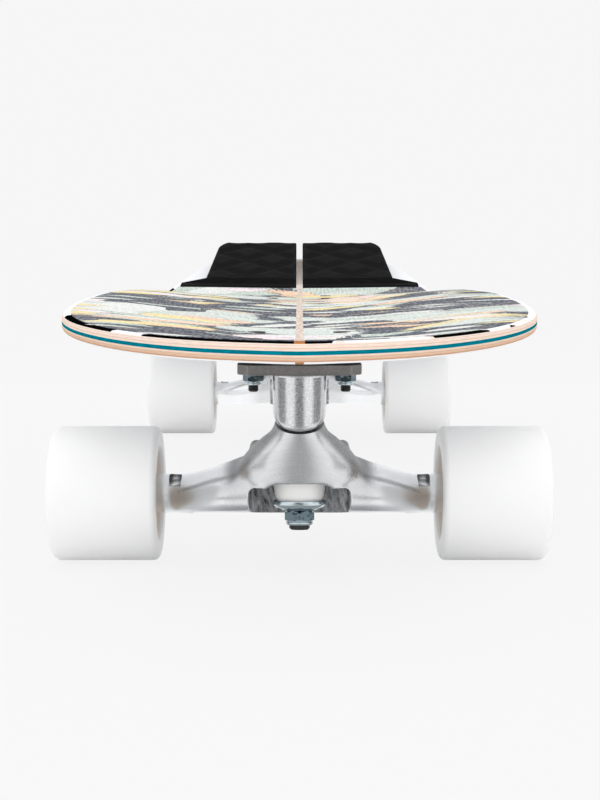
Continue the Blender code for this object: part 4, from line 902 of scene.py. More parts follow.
def skin_casting(obj, looks, rounds):
    """Skin an object as one closed surface and soften it."""
    skin = obj.modifiers.new("skin", "REMESH")
    skin.mode = "VOXEL"
    skin.voxel_size = looks.grain
    skin.use_smooth_shade = True
    softened(obj, rounds)


def eased_between(value, low, high):
    """Smooth step from 0 to 1 between two values."""
    share = min(max((value - low) / (high - low), 0.0), 1.0)
    return share * share * (3.0 - 2.0 * share)


def nose_rise(station):
    """Lift of the deck's middle line ahead of the front truck, level again at the nose tip."""
    return NOSE_RISE * eased_between(-station, NOSE_LIFT_START, NOSE_OVERHANG)


def middle_rise(station):
    """Height of the deck's middle line above its seat."""
    rise = nose_rise(station)
    camber_end = WHEELBASE - NOSE_LIFT_START
    if NOSE_LIFT_START < station < camber_end:
        share = (station - NOSE_LIFT_START) / (camber_end - NOSE_LIFT_START)
        rise += CAMBER * math.sin(math.pi * share) ** 2
    past = station - WHEELBASE - KICK_START
    if past > 0.0:
        blended = past ** 2 / (2.0 * KICK_BLEND) if past < KICK_BLEND else past - KICK_BLEND / 2
        rise += math.tan(KICK_ANGLE) * blended
    return rise


def concave_depth(station):
    """How far the rails stand above the middle line."""
    fade = eased_between(station, WHEELBASE + CONCAVE_FADE_START, WHEELBASE + CONCAVE_FADE_END)
    return (CONCAVE - nose_rise(station)) * (1.0 - fade)


def half_width(station):
    """Half width of the deck at a station."""
    if station < WIDEST_STATION:
        reach = (WIDEST_STATION - station) / (WIDEST_STATION + NOSE_OVERHANG) * math.cos(TIP_ANGLE)
        return DECK_HALF_WIDTH * math.sqrt(max(1.0 - reach * reach, 0.0))
    share = (station - WIDEST_STATION) / (TAIL_STATION - WIDEST_STATION)
    width = DECK_HALF_WIDTH - (DECK_HALF_WIDTH - TAIL_HALF_WIDTH) * share ** TAIL_SWEEP
    corner = (station - (TAIL_STATION - TAIL_CORNER)) / TAIL_CORNER * math.cos(TIP_ANGLE)
    if corner > 0.0:
        width *= max(1.0 - corner ** TAIL_CORNER_POWER, 0.0) ** (1.0 / TAIL_CORNER_POWER)
    return width


def top_height(x, station):
    """Height of the deck's top surface, whose rails lie level at their outer edge."""
    width = max(half_width(station), DECK_ROUND)
    across = min(abs(x) / width, 1.0) ** 2
    return DECK_TOP + middle_rise(station) + concave_depth(station) * across * (2.0 - across)


def evenly(start, end, count):
    """Places from one end to the other, both included."""
    return [start + (end - start) * step / count for step in range(count + 1)]


def outline_points(inset, last=None):
    """Right half of the deck's outline moved inwards, from the nose tip to the tail or to a station."""
    stations = []
    for step in range(NOSE_STATIONS):
        angle = (math.pi / 2 - TIP_ANGLE) * (1.0 - step / NOSE_STATIONS)
        share = math.sin(angle) / math.cos(TIP_ANGLE)
        stations.append(WIDEST_STATION - (WIDEST_STATION + NOSE_OVERHANG) * share)
    kick = WHEELBASE + KICK_START
    side_end = TAIL_STATION - TAIL_CORNER
    stations += evenly(WIDEST_STATION, kick, SIDE_STATIONS)[:-1]
    stations += evenly(kick, side_end, KICK_STATIONS)[:-1]
    stations += [side_end + TAIL_CORNER * math.sin(math.pi / 2 * step / CORNER_STATIONS)
                 for step in range(CORNER_STATIONS + 1)]
    points = [Vector((half_width(station), station)) for station in stations]
    moved = []
    for index, point in enumerate(points):
        before = points[index - 1] if index else Vector((-point.x, point.y))
        after = points[index + 1] if index < len(points) - 1 else Vector((-point.x, point.y))
        along = ((point - before).normalized() + (after - point).normalized()).normalized()
        inward = Vector((-along.y, along.x))
        moved.append(point + inward * inset)
    moved[0].x = max(moved[0].x, points[0].x / 2)
    if last is None:
        return moved
    kept = [point for point in moved if point.y < last - GRIT_INSET]
    following = moved[len(kept)]
    share = (last - kept[-1].y) / (following.y - kept[-1].y)
    return kept + [kept[-1].lerp(following, share)]


def grid_rows(bm, points, heights, columns):
    """Grid rows across the board, one for each outline point."""
    rows = []
    for point in points:
        row = []
        for column in range(columns + 1):
            x = point.x * (2.0 * column / columns - 1.0)
            row.append(bm.verts.new((x, FRONT_AXLE_Y + point.y, heights(x, point.y))))
        rows.append(row)
    return rows


def skin_rows(bm, rows, material=0):
    """Quads between neighbouring grid rows."""
    for first, second in zip(rows, rows[1:]):
        for column in range(len(first) - 1):
            face = bm.faces.new((first[column], first[column + 1], second[column + 1], second[column]))
            face.material_index = material


def rim_of(rows):
    """Closed loop of the outer vertices of a grid."""
    right = [row[-1] for row in rows]
    left = [row[0] for row in reversed(rows)]
    return rows[0][1:-1] + right + list(reversed(rows[-1][1:-1])) + left


def skin_rims(bm, rims, material=0):
    """Strips of quads between neighbouring closed loops."""
    for upper, lower in zip(rims, rims[1:]):
        for index in range(len(upper)):
            after = (index + 1) % len(upper)
            face = bm.faces.new((upper[index], upper[after], lower[after], lower[index]))
            face.material_index = material


def sheet_mesh(name, bm, top, bottom):
    """Mesh of a sheet, from the grids of its top and its underside."""
    skin_rows(bm, top)
    skin_rows(bm, bottom)
    skin_rims(bm, (rim_of(top), rim_of(bottom)))
    return finish_mesh(name, bm, SHEET_SHARP)


def deck_mesh():
    """Pressed deck with rounded rails; its "depth" runs from 0 on the top to 1 on the underside."""
    bm = bmesh.new()
    depth = bm.verts.layers.float.new("depth")
    inner = outline_points(DECK_ROUND)
    top = grid_rows(bm, inner, top_height, DECK_COLUMNS)
    bottom = grid_rows(bm, inner, lambda x, s: top_height(x, s) - DECK_THICKNESS, DECK_COLUMNS)
    skin_rows(bm, top, 0)
    skin_rows(bm, bottom, 1)
    for row in bottom:
        for vert in row:
            vert[depth] = 1.0
    levels = []
    for step in range(1, ROUND_STEPS + 1):
        angle = math.pi / 2 * step / ROUND_STEPS
        levels.append((DECK_ROUND * (1 - math.sin(angle)), DECK_ROUND * (1 - math.cos(angle))))
    levels += [(inset, DECK_THICKNESS - drop) for inset, drop in reversed(levels)]
    rims = [rim_of(top)]
    for inset, drop in levels:
        ring = outline_points(inset)
        rows = []
        for index, (point, base) in enumerate(zip(ring, inner)):
            count = DECK_COLUMNS if index in (0, len(inner) - 1) else 1
            row = []
            for column in range(count + 1):
                share = 2.0 * column / count - 1.0
                z = top_height(base.x * share, base.y) - drop
                vert = bm.verts.new((point.x * share, FRONT_AXLE_Y + point.y, z))
                vert[depth] = drop / DECK_THICKNESS
                row.append(vert)
            rows.append(row)
        rims.append(rim_of(rows))
    rims.append(rim_of(bottom))
    skin_rims(bm, rims, 2)
    return finish_mesh("deck_board", bm, SHEET_SHARP)


def grit_mesh():
    """Thin clear grit from the nose to the tail pad."""
    bm = bmesh.new()
    points = outline_points(DECK_ROUND + GRIT_INSET, WHEELBASE + PAD_FRONT - GAP)
    spread = 1.0 + GRIT_SIDE_SPREAD / DECK_HALF_WIDTH
    points = [Vector((point.x * spread, point.y)) for point in points]
    top = grid_rows(bm, points, lambda x, s: top_height(x, s) + GRIT_LIFT + GRIT_THICKNESS, DECK_COLUMNS)
    bottom = grid_rows(bm, points, lambda x, s: top_height(x, s) + GRIT_LIFT, DECK_COLUMNS)
    return sheet_mesh("grit", bm, top, bottom)


def pad_half_width(along):
    """Half width of the tail pad at a distance behind its front edge."""
    if along <= PAD_LEDGE:
        return PAD_LEDGE_HALF_WIDTH
    share = (along - PAD_LEDGE) / (PAD_LENGTH - PAD_LEDGE)
    width = PAD_BODY_FRONT_HALF + (PAD_BODY_REAR_HALF - PAD_BODY_FRONT_HALF) * share
    corner = (along - (PAD_LENGTH - PAD_CORNER)) / PAD_CORNER
    if corner > 0.0:
        width -= PAD_CORNER * (1.0 - math.sqrt(max(1.0 - corner * corner, 0.0)))
    return width


def quilt_drop(x, along, looks):
    """How far the pad's face sinks at a place, into the nearest grooves."""
    slope = QUILT_ALONG / QUILT_ACROSS
    normal = 2 * QUILT_ALONG / math.sqrt(1.0 + slope * slope)
    drop = 0.0
    for lean in (slope, -slope):
        turn = (along + x * lean) / (2 * QUILT_ALONG)
        distance = abs(turn - math.floor(turn) - 0.5) * normal
        share = min(distance / looks.groove_half, 1.0)
        drop = max(drop, looks.groove * (1.0 - share * share) ** 2)
    return drop


def pad_height(x, along, looks):
    """Thickness of the foam: thin ledge, rising wedge, quilting and rolled edges."""
    side = pad_half_width(along)
    if along <= PAD_LEDGE:
        thick, edge = PAD_FRONT_THICKNESS, min(along, side - x, x - PAD_SPLIT / 2)
        edge_round = PAD_EDGE_ROUND / 2
    else:
        share = (along - PAD_LEDGE) / (PAD_LENGTH - PAD_LEDGE)
        thick = PAD_STEP_THICKNESS + (PAD_REAR_THICKNESS - PAD_STEP_THICKNESS) * share
        edge = min(side - x, PAD_LENGTH - along, x - PAD_SPLIT / 2)
        edge_round = PAD_EDGE_ROUND
        inside = min(edge / (PAD_EDGE_ROUND * 2), (along - PAD_LEDGE) / (PAD_EDGE_ROUND * 2), 1.0)
        thick -= quilt_drop(x, along, looks) * max(inside, 0.0)
    if edge < edge_round:
        back = edge_round - max(edge, 0.0)
        thick -= edge_round - math.sqrt(edge_round * edge_round - back * back)
    return thick


def spaced(start, end, step, fine):
    """Places between two ends, closer together near both of them."""
    inner = evenly(start, end, max(int((end - start) / step), 4))
    extra = [start + fine, start + fine * 2, end - fine * 2, end - fine]
    return sorted(set(round(place, 7) for place in inner + extra))


def pad_mesh(sign, looks):
    """One half of the tail pad, crowned and quilted."""
    bm = bmesh.new()
    top, bottom = [], []
    fine = PAD_EDGE_ROUND / 5
    shares = [place / PAD_BODY_FRONT_HALF for place in spaced(0.0, PAD_BODY_FRONT_HALF, PAD_GRID, fine)]
    alongs = spaced(0.0, PAD_LEDGE, PAD_LEDGE / 5, fine)
    alongs += spaced(PAD_LEDGE + PAD_STEP_RUN, PAD_LENGTH, PAD_GRID, fine)
    for along in alongs:
        station = WHEELBASE + PAD_FRONT + along
        upper, lower = [], []
        for share in shares:
            x = PAD_SPLIT / 2 + (pad_half_width(along) - PAD_SPLIT / 2) * share
            foot = top_height(x, station) + PAD_LIFT
            place = (sign * x, FRONT_AXLE_Y + station)
            lower.append(bm.verts.new((*place, foot)))
            taper = PAD_END_TAPER * (along / PAD_LENGTH) ** 2
            upper.append(bm.verts.new((*place, foot + pad_height(x, along, looks) - taper)))
        top.append(upper)
        bottom.append(lower)
    return sheet_mesh("tail_pad", bm, top, bottom)


def wheel_mesh(looks):
    """Urethane wheel along the axle, with cone-shaped recesses and a core."""
    width, rim = WHEEL_WIDTH, WHEEL_RADIUS
    seat = BEARING_RADIUS + BEARING_FIT
    inner_floor = INNER_BEARING_START - WHEEL_INNER_FACE
    web_start = SPACER_START - WHEEL_INNER_FACE
    web_end = web_start + SPACER_LENGTH
    outer_floor = OUTER_RING_START - WHEEL_INNER_FACE
    profile = [(seat, inner_floor), (seat, web_start), (CORE_WEB_RADIUS, web_start),
               (CORE_WEB_RADIUS, web_end), (seat, web_end), (seat, outer_floor),
               (seat + CORE_FLOOR - CORE_RIB, outer_floor)]
    profile += arc(seat + CORE_FLOOR, outer_floor + CORE_RIB, CORE_RIB, -90, -20, 4)
    profile += arc(WHEEL_OUTER_MOUTH_RADIUS + WHEEL_LIP, width - WHEEL_LIP, WHEEL_LIP, 180, 90, 6)
    profile += arc(rim - looks.outer_round, width - looks.outer_round, looks.outer_round, 90, 0, 12)
    profile += [(rim, width * share) for share in (0.8, 0.6, 0.4, 0.2)]
    profile += arc(rim - looks.inner_round, looks.inner_round, looks.inner_round, 0, -90, 10)
    profile += arc(WHEEL_MOUTH_RADIUS + WHEEL_LIP, WHEEL_LIP, WHEEL_LIP, -90, -180, 6)
    profile += arc(seat + CORE_FLOOR, inner_floor - CORE_RIB, CORE_RIB, 20, 90, 4)
    wheel = lathe(profile, WHEEL_SEGMENTS, True)
    return finish_mesh("wheel", turned(wheel, along_x(WHEEL_INNER_FACE)), WHEEL_SHARP)


def bearing_lathe():
    """Sealed bearing standing on its width, with both rings and a dished shield on each side."""
    back = [(radius, BEARING_WIDTH - height) for radius, height in reversed(BEARING_FACE)]
    return lathe([*BEARING_FACE, *back], closed=True)


def nut_lathe(flats, height, bore, collar, turn=0.0):
    """Lock nut: a hexagon with rounded corners at its foot and a rolled collar on top."""
    body, chamfer = height * NUT_BODY, height * NUT_CHAMFER
    roll = height - body
    bend = roll * NUT_ROLL
    profile = [(bore, 0.0), (flats / 2 * NUT_FOOT_FACE, 0.0), (1.0, chamfer, "hex", NUT_CORNER_SLOPE),
               (1.0, body - chamfer / 3, "hex", -NUT_CORNER_SLOPE), (flats / 2 * NUT_TOP_FACE, body)]
    profile += arc(collar - bend, height - bend, bend, -40, 90, 8)
    profile += [(bore + roll * 0.15, height), (bore, height - roll * 0.2)]
    nut = lathe(profile, FINE_SEGMENTS, True, flats, turn)
    # The hexagon's flats take the second slot, whose darker plating is a painted reflection of dark
    # surroundings.
    for face in nut.faces:
        middle = face.calc_center_median()
        if chamfer < middle.z < body * NUT_FLAT_TOP and middle.xy.length > flats * 0.45:
            face.material_index = 1
    return nut


def threaded(radius, start, end):
    """Points of a rod's side with a thread rolled on it, from one height to another."""
    count = max(int(abs(end - start) / THREAD_PITCH * 2), 2)
    points = []
    for step in range(count + 1):
        depth = THREAD_DEPTH if step % 2 else 0.0
        points.append((radius - depth, start + (end - start) * step / count))
    return points


def axle_mesh():
    """Axle with threaded, chamfered ends."""
    end = AXLE_END
    profile = [(0.0, -end), (AXLE_RADIUS - AXLE_CHAMFER, -end)]
    profile += threaded(AXLE_RADIUS, AXLE_CHAMFER - end, -AXLE_NUT_START)
    profile += threaded(AXLE_RADIUS, AXLE_NUT_START, end - AXLE_CHAMFER)
    profile += [(AXLE_RADIUS - AXLE_CHAMFER, end), (0.0, end)]
    return finish_mesh("axle", turned(lathe(profile, ROD_SEGMENTS), along_x(0.0)))


def ring_lathe(inner, outer, start, end, edge):
    """Plain ring with softened edges."""
    return lathe([(inner, start), (outer - edge, start), (outer, start + edge), (outer, end - edge),
                  (outer - edge, end), (inner, end)], closed=True)


def kingpin_piece(name, profile):
    """Piece turned about the kingpin's line."""
    return finish_mesh(name, turned(lathe(profile, closed=True), along_kingpin()))


def board_bushing_mesh():
    """Barrel bushing above the hanger's ring."""
    inner, edge, radius = KINGPIN_RADIUS + GAP, BOARD_BUSHING_EDGE, BOARD_BUSHING_RADIUS
    profile = [(inner, STACK_UP)]
    profile += arc(radius - edge, STACK_UP + edge, edge, -90, 0, 5)
    profile += [(radius, STACK_UP + BOARD_BUSHING_HEIGHT * share) for share in (0.3, 0.5, 0.7)]
    profile += arc(radius - edge, BOARD_BUSHING_TOP - edge, edge, 0, 90, 5)
    profile += [(inner, BOARD_BUSHING_TOP)]
    return kingpin_piece("board_bushing", profile)


def road_bushing_mesh():
    """Cone bushing under the hanger's ring, with a stepped shoulder in its cup."""
    inner, edge, top = KINGPIN_RADIUS + GAP, ROAD_BUSHING_EDGE, -STACK_UP
    shoulder = ROAD_FOOT + ROAD_BUSHING_HEIGHT * 0.25
    profile = [(inner, ROAD_FOOT), (ROAD_BUSHING_FOOT - ROAD_BUSHING_FOOT_EDGE, ROAD_FOOT),
               (ROAD_BUSHING_FOOT, ROAD_FOOT + ROAD_BUSHING_FOOT_EDGE)]
    profile += [(radius, shoulder + up) for radius, up in ROAD_BUSHING_SIDE]
    profile += arc(ROAD_BUSHING_RADIUS - edge, top - edge, edge, -10, 90, 6)
    profile += [(inner, top)]
    return kingpin_piece("road_bushing", profile)


def cup_washer_mesh():
    """Pressed cup washer with a rolled rim."""
    inner, rim = KINGPIN_RADIUS + GAP, CUP_FLOOR + CUP_DEPTH
    foot = CUP_FOOT_RADIUS - CUP_FOOT_ROUND / 2
    profile = [(inner, CUP_FOOT), (foot, CUP_FOOT)]
    profile += arc(foot, CUP_FOOT + CUP_FOOT_ROUND, CUP_FOOT_ROUND, -90, -35, 4)
    profile += [(radius, CUP_FOOT + up) for radius, up in CUP_SIDE]
    profile += arc(CUP_RADIUS - CUP_CURL, rim - CUP_CURL, CUP_CURL, -10, 150, 6)
    profile += [(ROAD_BUSHING_FOOT + GAP, CUP_FLOOR), (inner, CUP_FLOOR)]
    return kingpin_piece("cup_washer", profile)


def kingpin_tail_mesh():
    """Threaded end of the kingpin under its nut."""
    radius = KINGPIN_RADIUS - THREAD_FIT
    profile = [(0.0, NUT_TOP), (radius, NUT_TOP)]
    profile += threaded(radius, NUT_FOOT + THREAD_RUN_IN, KINGPIN_FOOT + KINGPIN_CHAMFER[1])
    profile += [(radius - KINGPIN_CHAMFER[0], KINGPIN_FOOT), (0.0, KINGPIN_FOOT)]
    return finish_mesh("kingpin_tail", turned(lathe(profile, ROD_SEGMENTS), along_kingpin()))


def deck_bolt_mesh(top):
    """Deck bolt with a socket in its sunk head and its thread out under the nut."""
    foot = PLATE_FOOT - GAP - BOLT_NUT_HEIGHT - BOLT_TAIL
    socket, flats = BOLT_HEAD_DEPTH * 0.6, BOLT_SOCKET_FLATS
    profile = [(0.0, top - socket), (1.0, top - socket, "hex"), (1.0, top - 0.0002, "hex"),
               (flats / 2 * 1.22, top), (BOLT_HEAD_RADIUS - BOLT_EDGE, top),
               (BOLT_HEAD_RADIUS, top - BOLT_EDGE), (BOLT_RADIUS, top - BOLT_HEAD_DEPTH)]
    profile += threaded(BOLT_RADIUS, foot + BOLT_TAIL + THREAD_RUN_IN, foot + BOLT_CHAMFER[1])
    profile += [(BOLT_RADIUS - BOLT_CHAMFER[0], foot), (0.0, foot)]
    return lathe(profile, ROD_SEGMENTS, False, flats)


def section_loops(sections, upright):
    """Loops of a lobe along the arm, or of the body up its height."""
    loops = []
    for section in eased(sections, SECTION_STEPS):
        if upright:
            up, half, ahead, back, power = section
            middle, deep = (ahead + back) / 2, (back - ahead) / 2
            loops.append([(x, middle + y, AXLE_Z + up) for x, y in squircle(half, deep, power)])
        else:
            reach, ahead, back, foot, top, power = section
            loops.append([(reach, (ahead + back) / 2 + y, AXLE_Z + (top + foot) / 2 + z)
                          for y, z in squircle((back - ahead) / 2, (top - foot) / 2, power)])
    return loops


def hanger_solids():
    """Body, both arms with their upper ridges, axle casing and bushing collar."""
    boss = (-ARM_RADIUS, ARM_RADIUS, -ARM_RADIUS, ARM_RADIUS, 2.0)
    notch_end = TUBE_SECTIONS[-1][0] + ARM_NOTCH
    tube = list(TUBE_SECTIONS) + [(notch_end, *boss), (HANGER_END, *boss)]
    ridge = list(RIDGE_SECTIONS) + [(notch_end, *boss), (notch_end + RIDGE_END, *boss)]
    solids = [loft(section_loops(BODY_SECTIONS, True))]
    for sections in (tube, ridge):
        for sign in (-1.0, 1.0):
            solids.append(turned(loft(section_loops(sections, False)), Matrix.Scale(sign, 4, (1, 0, 0))))
    casing = squircle(CASING_HALF_DEPTH, ARM_RADIUS, CASING_SQUARENESS)
    solids.append(loft([[(x, y - CASING_AHEAD, AXLE_Z - CASING_SINK + z) for y, z in casing]
                        for x in (-CASING_REACH, CASING_REACH)]))
    collar = [(0.0, -RING_WEB / 2), (COLLAR_RADIUS, -RING_WEB / 2),
              (COLLAR_RADIUS, COLLAR_TOP - COLLAR_EDGE), (COLLAR_RADIUS - COLLAR_EDGE, COLLAR_TOP),
              (0.0, COLLAR_TOP)]
    solids.append(turned(lathe(collar), along_kingpin()))
    for sign in (-1.0, 1.0):
        lug = bmesh.new()
        bmesh.ops.create_uvsphere(lug, u_segments=24, v_segments=16, radius=LUG_RADIUS)
        bmesh.ops.translate(lug, verts=lug.verts, vec=(sign * LUG_REACH, -KINGPIN_AHEAD, AXLE_Z + LUG_UP))
        solids.append(lug)
    return solids


def block(x_span, y_span, z_span):
    """Plain box, as a cutting tool."""
    (left, right), (near, far) = x_span, y_span
    corners = ((left, near), (right, near), (right, far), (left, far))
    return loft([[(x, y, z) for x, y in corners] for z in z_span])


def hanger_hollows():
    """Tools for the hollows that are cast: the foot and the window."""
    depth = ARM_RADIUS + 0.0002
    half = HANGER_END * 2 / 3
    foot = turned(block((-half, half), (-TOOL_REACH, TOOL_REACH), (-depth - TOOL_REACH, -depth)),
                  Matrix.Translation((0.0, 0.0, AXLE_Z)) @ Matrix.Rotation(-BODY_FOOT_LEAN, 4, "X"))
    top = AXLE_Z + POCKET_TOP_UP
    side = POCKET_HALF_WIDTH - POCKET_CORNER
    right = [(POCKET_HALF_WIDTH, 0.0)]
    right += [(side + x, top - POCKET_CORNER + z) for x, z in arc(0.0, 0.0, POCKET_CORNER, 0, 90, 6)]
    right.append((ARCH_HALF_WIDTH + ARCH_FLARE, top))
    right += [(ARCH_HALF_WIDTH * out, top + ARCH_RISE * up) for out, up in ARCH_POINTS]
    outline = right + [(-x, z) for x, z in reversed(right)]
    window = loft([[(x, y, z) for x, z in outline] for y in (-POCKET_BACK - TOOL_REACH, -POCKET_BACK)])
    return [foot, window]


def hanger_bores():
    """Tools for what is machined: bushing seats, ring bore, shoulder and the arms' cavities."""
    seat = rod(SEAT_RADIUS, RING_WEB / 2, TOOL_REACH)
    under = rod(ROAD_BUSHING_RADIUS + ROAD_SEAT_GAP, -TOOL_REACH, -RING_WEB / 2)
    bore = rod(RING_BORE_RADIUS, -RING_WEB, RING_WEB)
    tools = [turned(lathe(profile), along_kingpin()) for profile in (seat, under, bore)]
    shoulder = block((-TOOL_REACH, TOOL_REACH), (-TOOL_REACH, TOOL_REACH), (-SHOULDER_GAP, TOOL_REACH))
    turned(shoulder, Matrix.Translation(POST_FOOT_FRONT) @ rotation_to(FOOT_NORMAL))
    tools.append(shoulder)
    middle = TUBE_SECTIONS[-1][0] + ARM_NOTCH / 2
    for sign in (-1.0, 1.0):
        loops = []
        for up, grown in ARM_NOTCH_LEVELS:
            offsets = squircle(ARM_NOTCH / 2 * grown, ARM_NOTCH_WIDTH / 2 * grown, ARM_NOTCH_SQUARENESS)
            loops.append([(sign * middle + x, y, AXLE_Z + up) for x, y in offsets])
        lean = Matrix.Translation((0.0, 0.0, AXLE_Z)) @ Matrix.Rotation(ARM_NOTCH_LEAN, 4, "X")
        tools.append(turned(loft(loops), lean @ Matrix.Translation((0.0, 0.0, -AXLE_Z))))
    return tools


def pivot_mesh():
    """Round-nosed pivot on the hanger's neck."""
    tip = PIVOT_START + PIVOT_BORE_RADIUS * math.tan(POST_FOOT_ANGLE - STEER_ANGLE) + PIVOT_REACH
    root, shoulder = PIVOT_START - PIVOT_ROOT, tip - PIVOT_NOSE
    profile = [(0.0, root), (PIVOT_RADIUS, root), (PIVOT_RADIUS, shoulder)]
    profile += arc(PIVOT_RADIUS - PIVOT_NOSE, shoulder, PIVOT_NOSE, 0, 80, 6)
    profile.append((0.0, tip))
    return finish_mesh("pivot", turned(lathe(profile, ROD_SEGMENTS), along_steering()))


def post_solid():
    """Post that drops from the flange, cut on a slant and rounded at its foot."""
    post = bmesh.new()
    overlap = PLATE_THICKNESS / 2
    bmesh.ops.create_cone(post, cap_ends=True, segments=96, radius1=POST_FOOT_RADIUS,
                          radius2=POST_TOP_RADIUS, depth=POST_FOOT_DROP + overlap)
    middle = PLATE_FOOT - (POST_FOOT_DROP - overlap) / 2
    bmesh.ops.translate(post, verts=post.verts, vec=(0.0, -POST_AHEAD, middle))
    cut = bmesh.ops.bisect_plane(
        post, geom=post.verts[:] + post.edges[:] + post.faces[:],
        plane_co=POST_FOOT_FRONT, plane_no=FOOT_NORMAL, clear_inner=True)
    rim = [item for item in cut["geom_cut"] if isinstance(item, bmesh.types.BMEdge)]
    bmesh.ops.contextual_create(post, geom=rim)
    bmesh.ops.bevel(post, geom=rim, offset=POST_FOOT_ROUND, segments=6, profile=0.5,
                    affect="EDGES", clamp_overlap=True)
    return post


def baseplate_solids():
    """Flange, post, kingpin boss and rib."""
    half, cut = PLATE_WIDTH / 2, PLATE_CORNER
    right = [(half - cut, PLATE_FRONT), (half, PLATE_FRONT + cut), (half, PLATE_REAR - cut),
             (half - cut, PLATE_REAR)]
    outline = right + [(-x, y) for x, y in reversed(right)]
    flange = loft([[(x, y, z) for x, y in outline] for z in (PLATE_FOOT, PLATE_TOP)])
    inside = PLATE_FOOT + PLATE_THICKNESS / 2
    boss_top = (inside - RING_CENTRE.z) / KINGPIN_AXIS.z
    boss = turned(lathe([(0.0, BOSS_FOOT), (BOSS_RADIUS, BOSS_FOOT), (BOSS_ROOT_RADIUS, boss_top),
                         (0.0, boss_top)]), along_kingpin())
    back = RING_CENTRE.y + boss_top * KINGPIN_AXIS.y
    end = back + RIB_LENGTH
    side = ((back, inside), (end, inside), (end, PLATE_FOOT - PLATE_THICKNESS / 4),
            (back, PLATE_FOOT - RIB_DEPTH))
    rib = loft([[(x, y, z) for y, z in side] for x in (-RIB_HALF, RIB_HALF)])
    return [flange, post_solid(), boss, rib]


def baseplate_bores():
    """Bolt holes and the slanted pivot bore."""
    tools = []
    for _, y in BOLT_ROWS:
        for sign in (-1.0, 1.0):
            hole = lathe(rod(BOLT_RADIUS + GAP, PLATE_FOOT - GAP, PLATE_TOP + GAP), ROD_SEGMENTS)
            tools.append(turned(hole, Matrix.Translation((sign * BOLT_ACROSS / 2, y, 0.0))))
    bore = rod(PIVOT_BORE_RADIUS, PIVOT_START - PIVOT_BORE_DROP, PIVOT_START + PIVOT_BORE_RISE)
    tools.append(turned(lathe(bore, ROD_SEGMENTS), along_steering()))
    return tools


def streaks(finish, ground):
    """Print of drifting brush marks: layers of stretched cells, each with its own chance and tint."""
    place = finish.place()
    drift = finish.noise(place, 9.0, 2.0, output=1)
    bent = finish.added(place, finish.scaled(finish.added(drift, (-0.5, -0.5, -0.5)), (0.1, 0.1, 0.0)))
    pale = [(at, screen(*tone)) for at, tone in PRINT_TINTS]
    color = finish.joined(*ground)
    for turn, stretch, share, shift in PRINT_LAYERS:
        leaned = finish.node("VectorRotate", {"rotation_type": "Z_AXIS"}, {
            "Vector": bent, "Angle": turn})
        field = finish.added(finish.scaled(leaned, (*stretch, 0.0)), (shift, shift * 2, 0.0))
        apart = finish.cells(field, 1.0)
        chance, shade, _ = finish.split(finish.cells(field, 1.0, output="Color"))
        bristle = finish.noise(leaned, (26.0, 420.0, 0.0), 3.0, 0.6)
        edge = 0.58 + (bristle - 0.5) * 0.62
        inside = finish.smooth(edge - apart, 0.0, 0.04)
        chosen = finish.fade(chance, share, share + 0.01)
        tint = finish.ramp(shade, pale, "CONSTANT")
        worn = finish.tinted(tint, finish.spread(bristle, 0.8, 1.1))
        outline = finish.band(edge - apart, 0.015, 0.05, 0.07, 0.09)
        lined = finish.mix(outline * finish.smooth(shade, 0.45, 0.5) * 0.45, worn, screen(120, 122, 130))
        color = finish.mix(inside * chosen, color, lined)
    hair = finish.noise(bent, (18.0, 240.0, 0.0), 2.0, 0.6, 0.6)
    line = finish.band(hair, 0.64, 0.655, 0.675, 0.69)
    return finish.mix(line * 0.75, color, screen(236, 214, 190))


def rim_print(finish, looks):
    """Bare rim of the print: glossy black, with a few pale ends of brush marks that run over it."""
    place = finish.place()
    x, y, _ = finish.split(place)
    patch = finish.noise(place, (16.0, 10.0, 0.0), 1.0)
    tips = finish.smooth(abs(x), 0.102, 0.118) * (0.26 - finish.smooth(y, -0.06, 0.04) * 0.22)
    patch = patch + tips + finish.smooth(x, 0.015, 0.05) * 0.045
    ragged = finish.noise(place, (240.0, 120.0, 0.0), 2.0)
    pale = finish.smooth(patch + (ragged - 0.5) * 0.06, 0.572, 0.578)
    tint = finish.mix(finish.smooth(ragged, 0.62, 0.64), screen(238, 238, 242), screen(240, 214, 200))
    color = finish.mix(pale, looks.ground, tint)
    pad_start = REAR_AXLE_Y + PAD_FRONT
    tail = finish.smooth(y, pad_start - 0.004, pad_start)
    color = finish.mix(tail, color, screen(232, 233, 237))
    bare = finish.mix(tail, wood(finish, *RIM_WOOD), screen(226, 208, 196))
    return finish.mix(strip(finish, STRINGER_HALF, 0.0002), color, bare)


def strip(finish, half, edge=0.0001):
    """1 on a wooden strip of the given half width along the middle."""
    x, _, _ = finish.split(finish.place())
    return finish.fade(abs(x), half - 0.0001, half + edge)


def wood(finish, pale, dark):
    """Straight grain along the board."""
    place = finish.place()
    grain = finish.noise(place, (900.0, 18.0, 300.0), 4.0, 0.6, 0.3)
    return finish.mix(grain, pale, dark)


def top_finish(looks):
    """Glossy print on the bare rim, white behind the tail pad, with a wooden stringer."""
    finish = Finish("deck_print_lacquer", specular_ior_level=0.0)
    dust = finish.noise(finish.place(), 260.0, 3.0)
    return finish.coat(rim_print(finish, looks), finish.spread(dust, 0.22, 0.36), dust, 0.00003, 0.5)


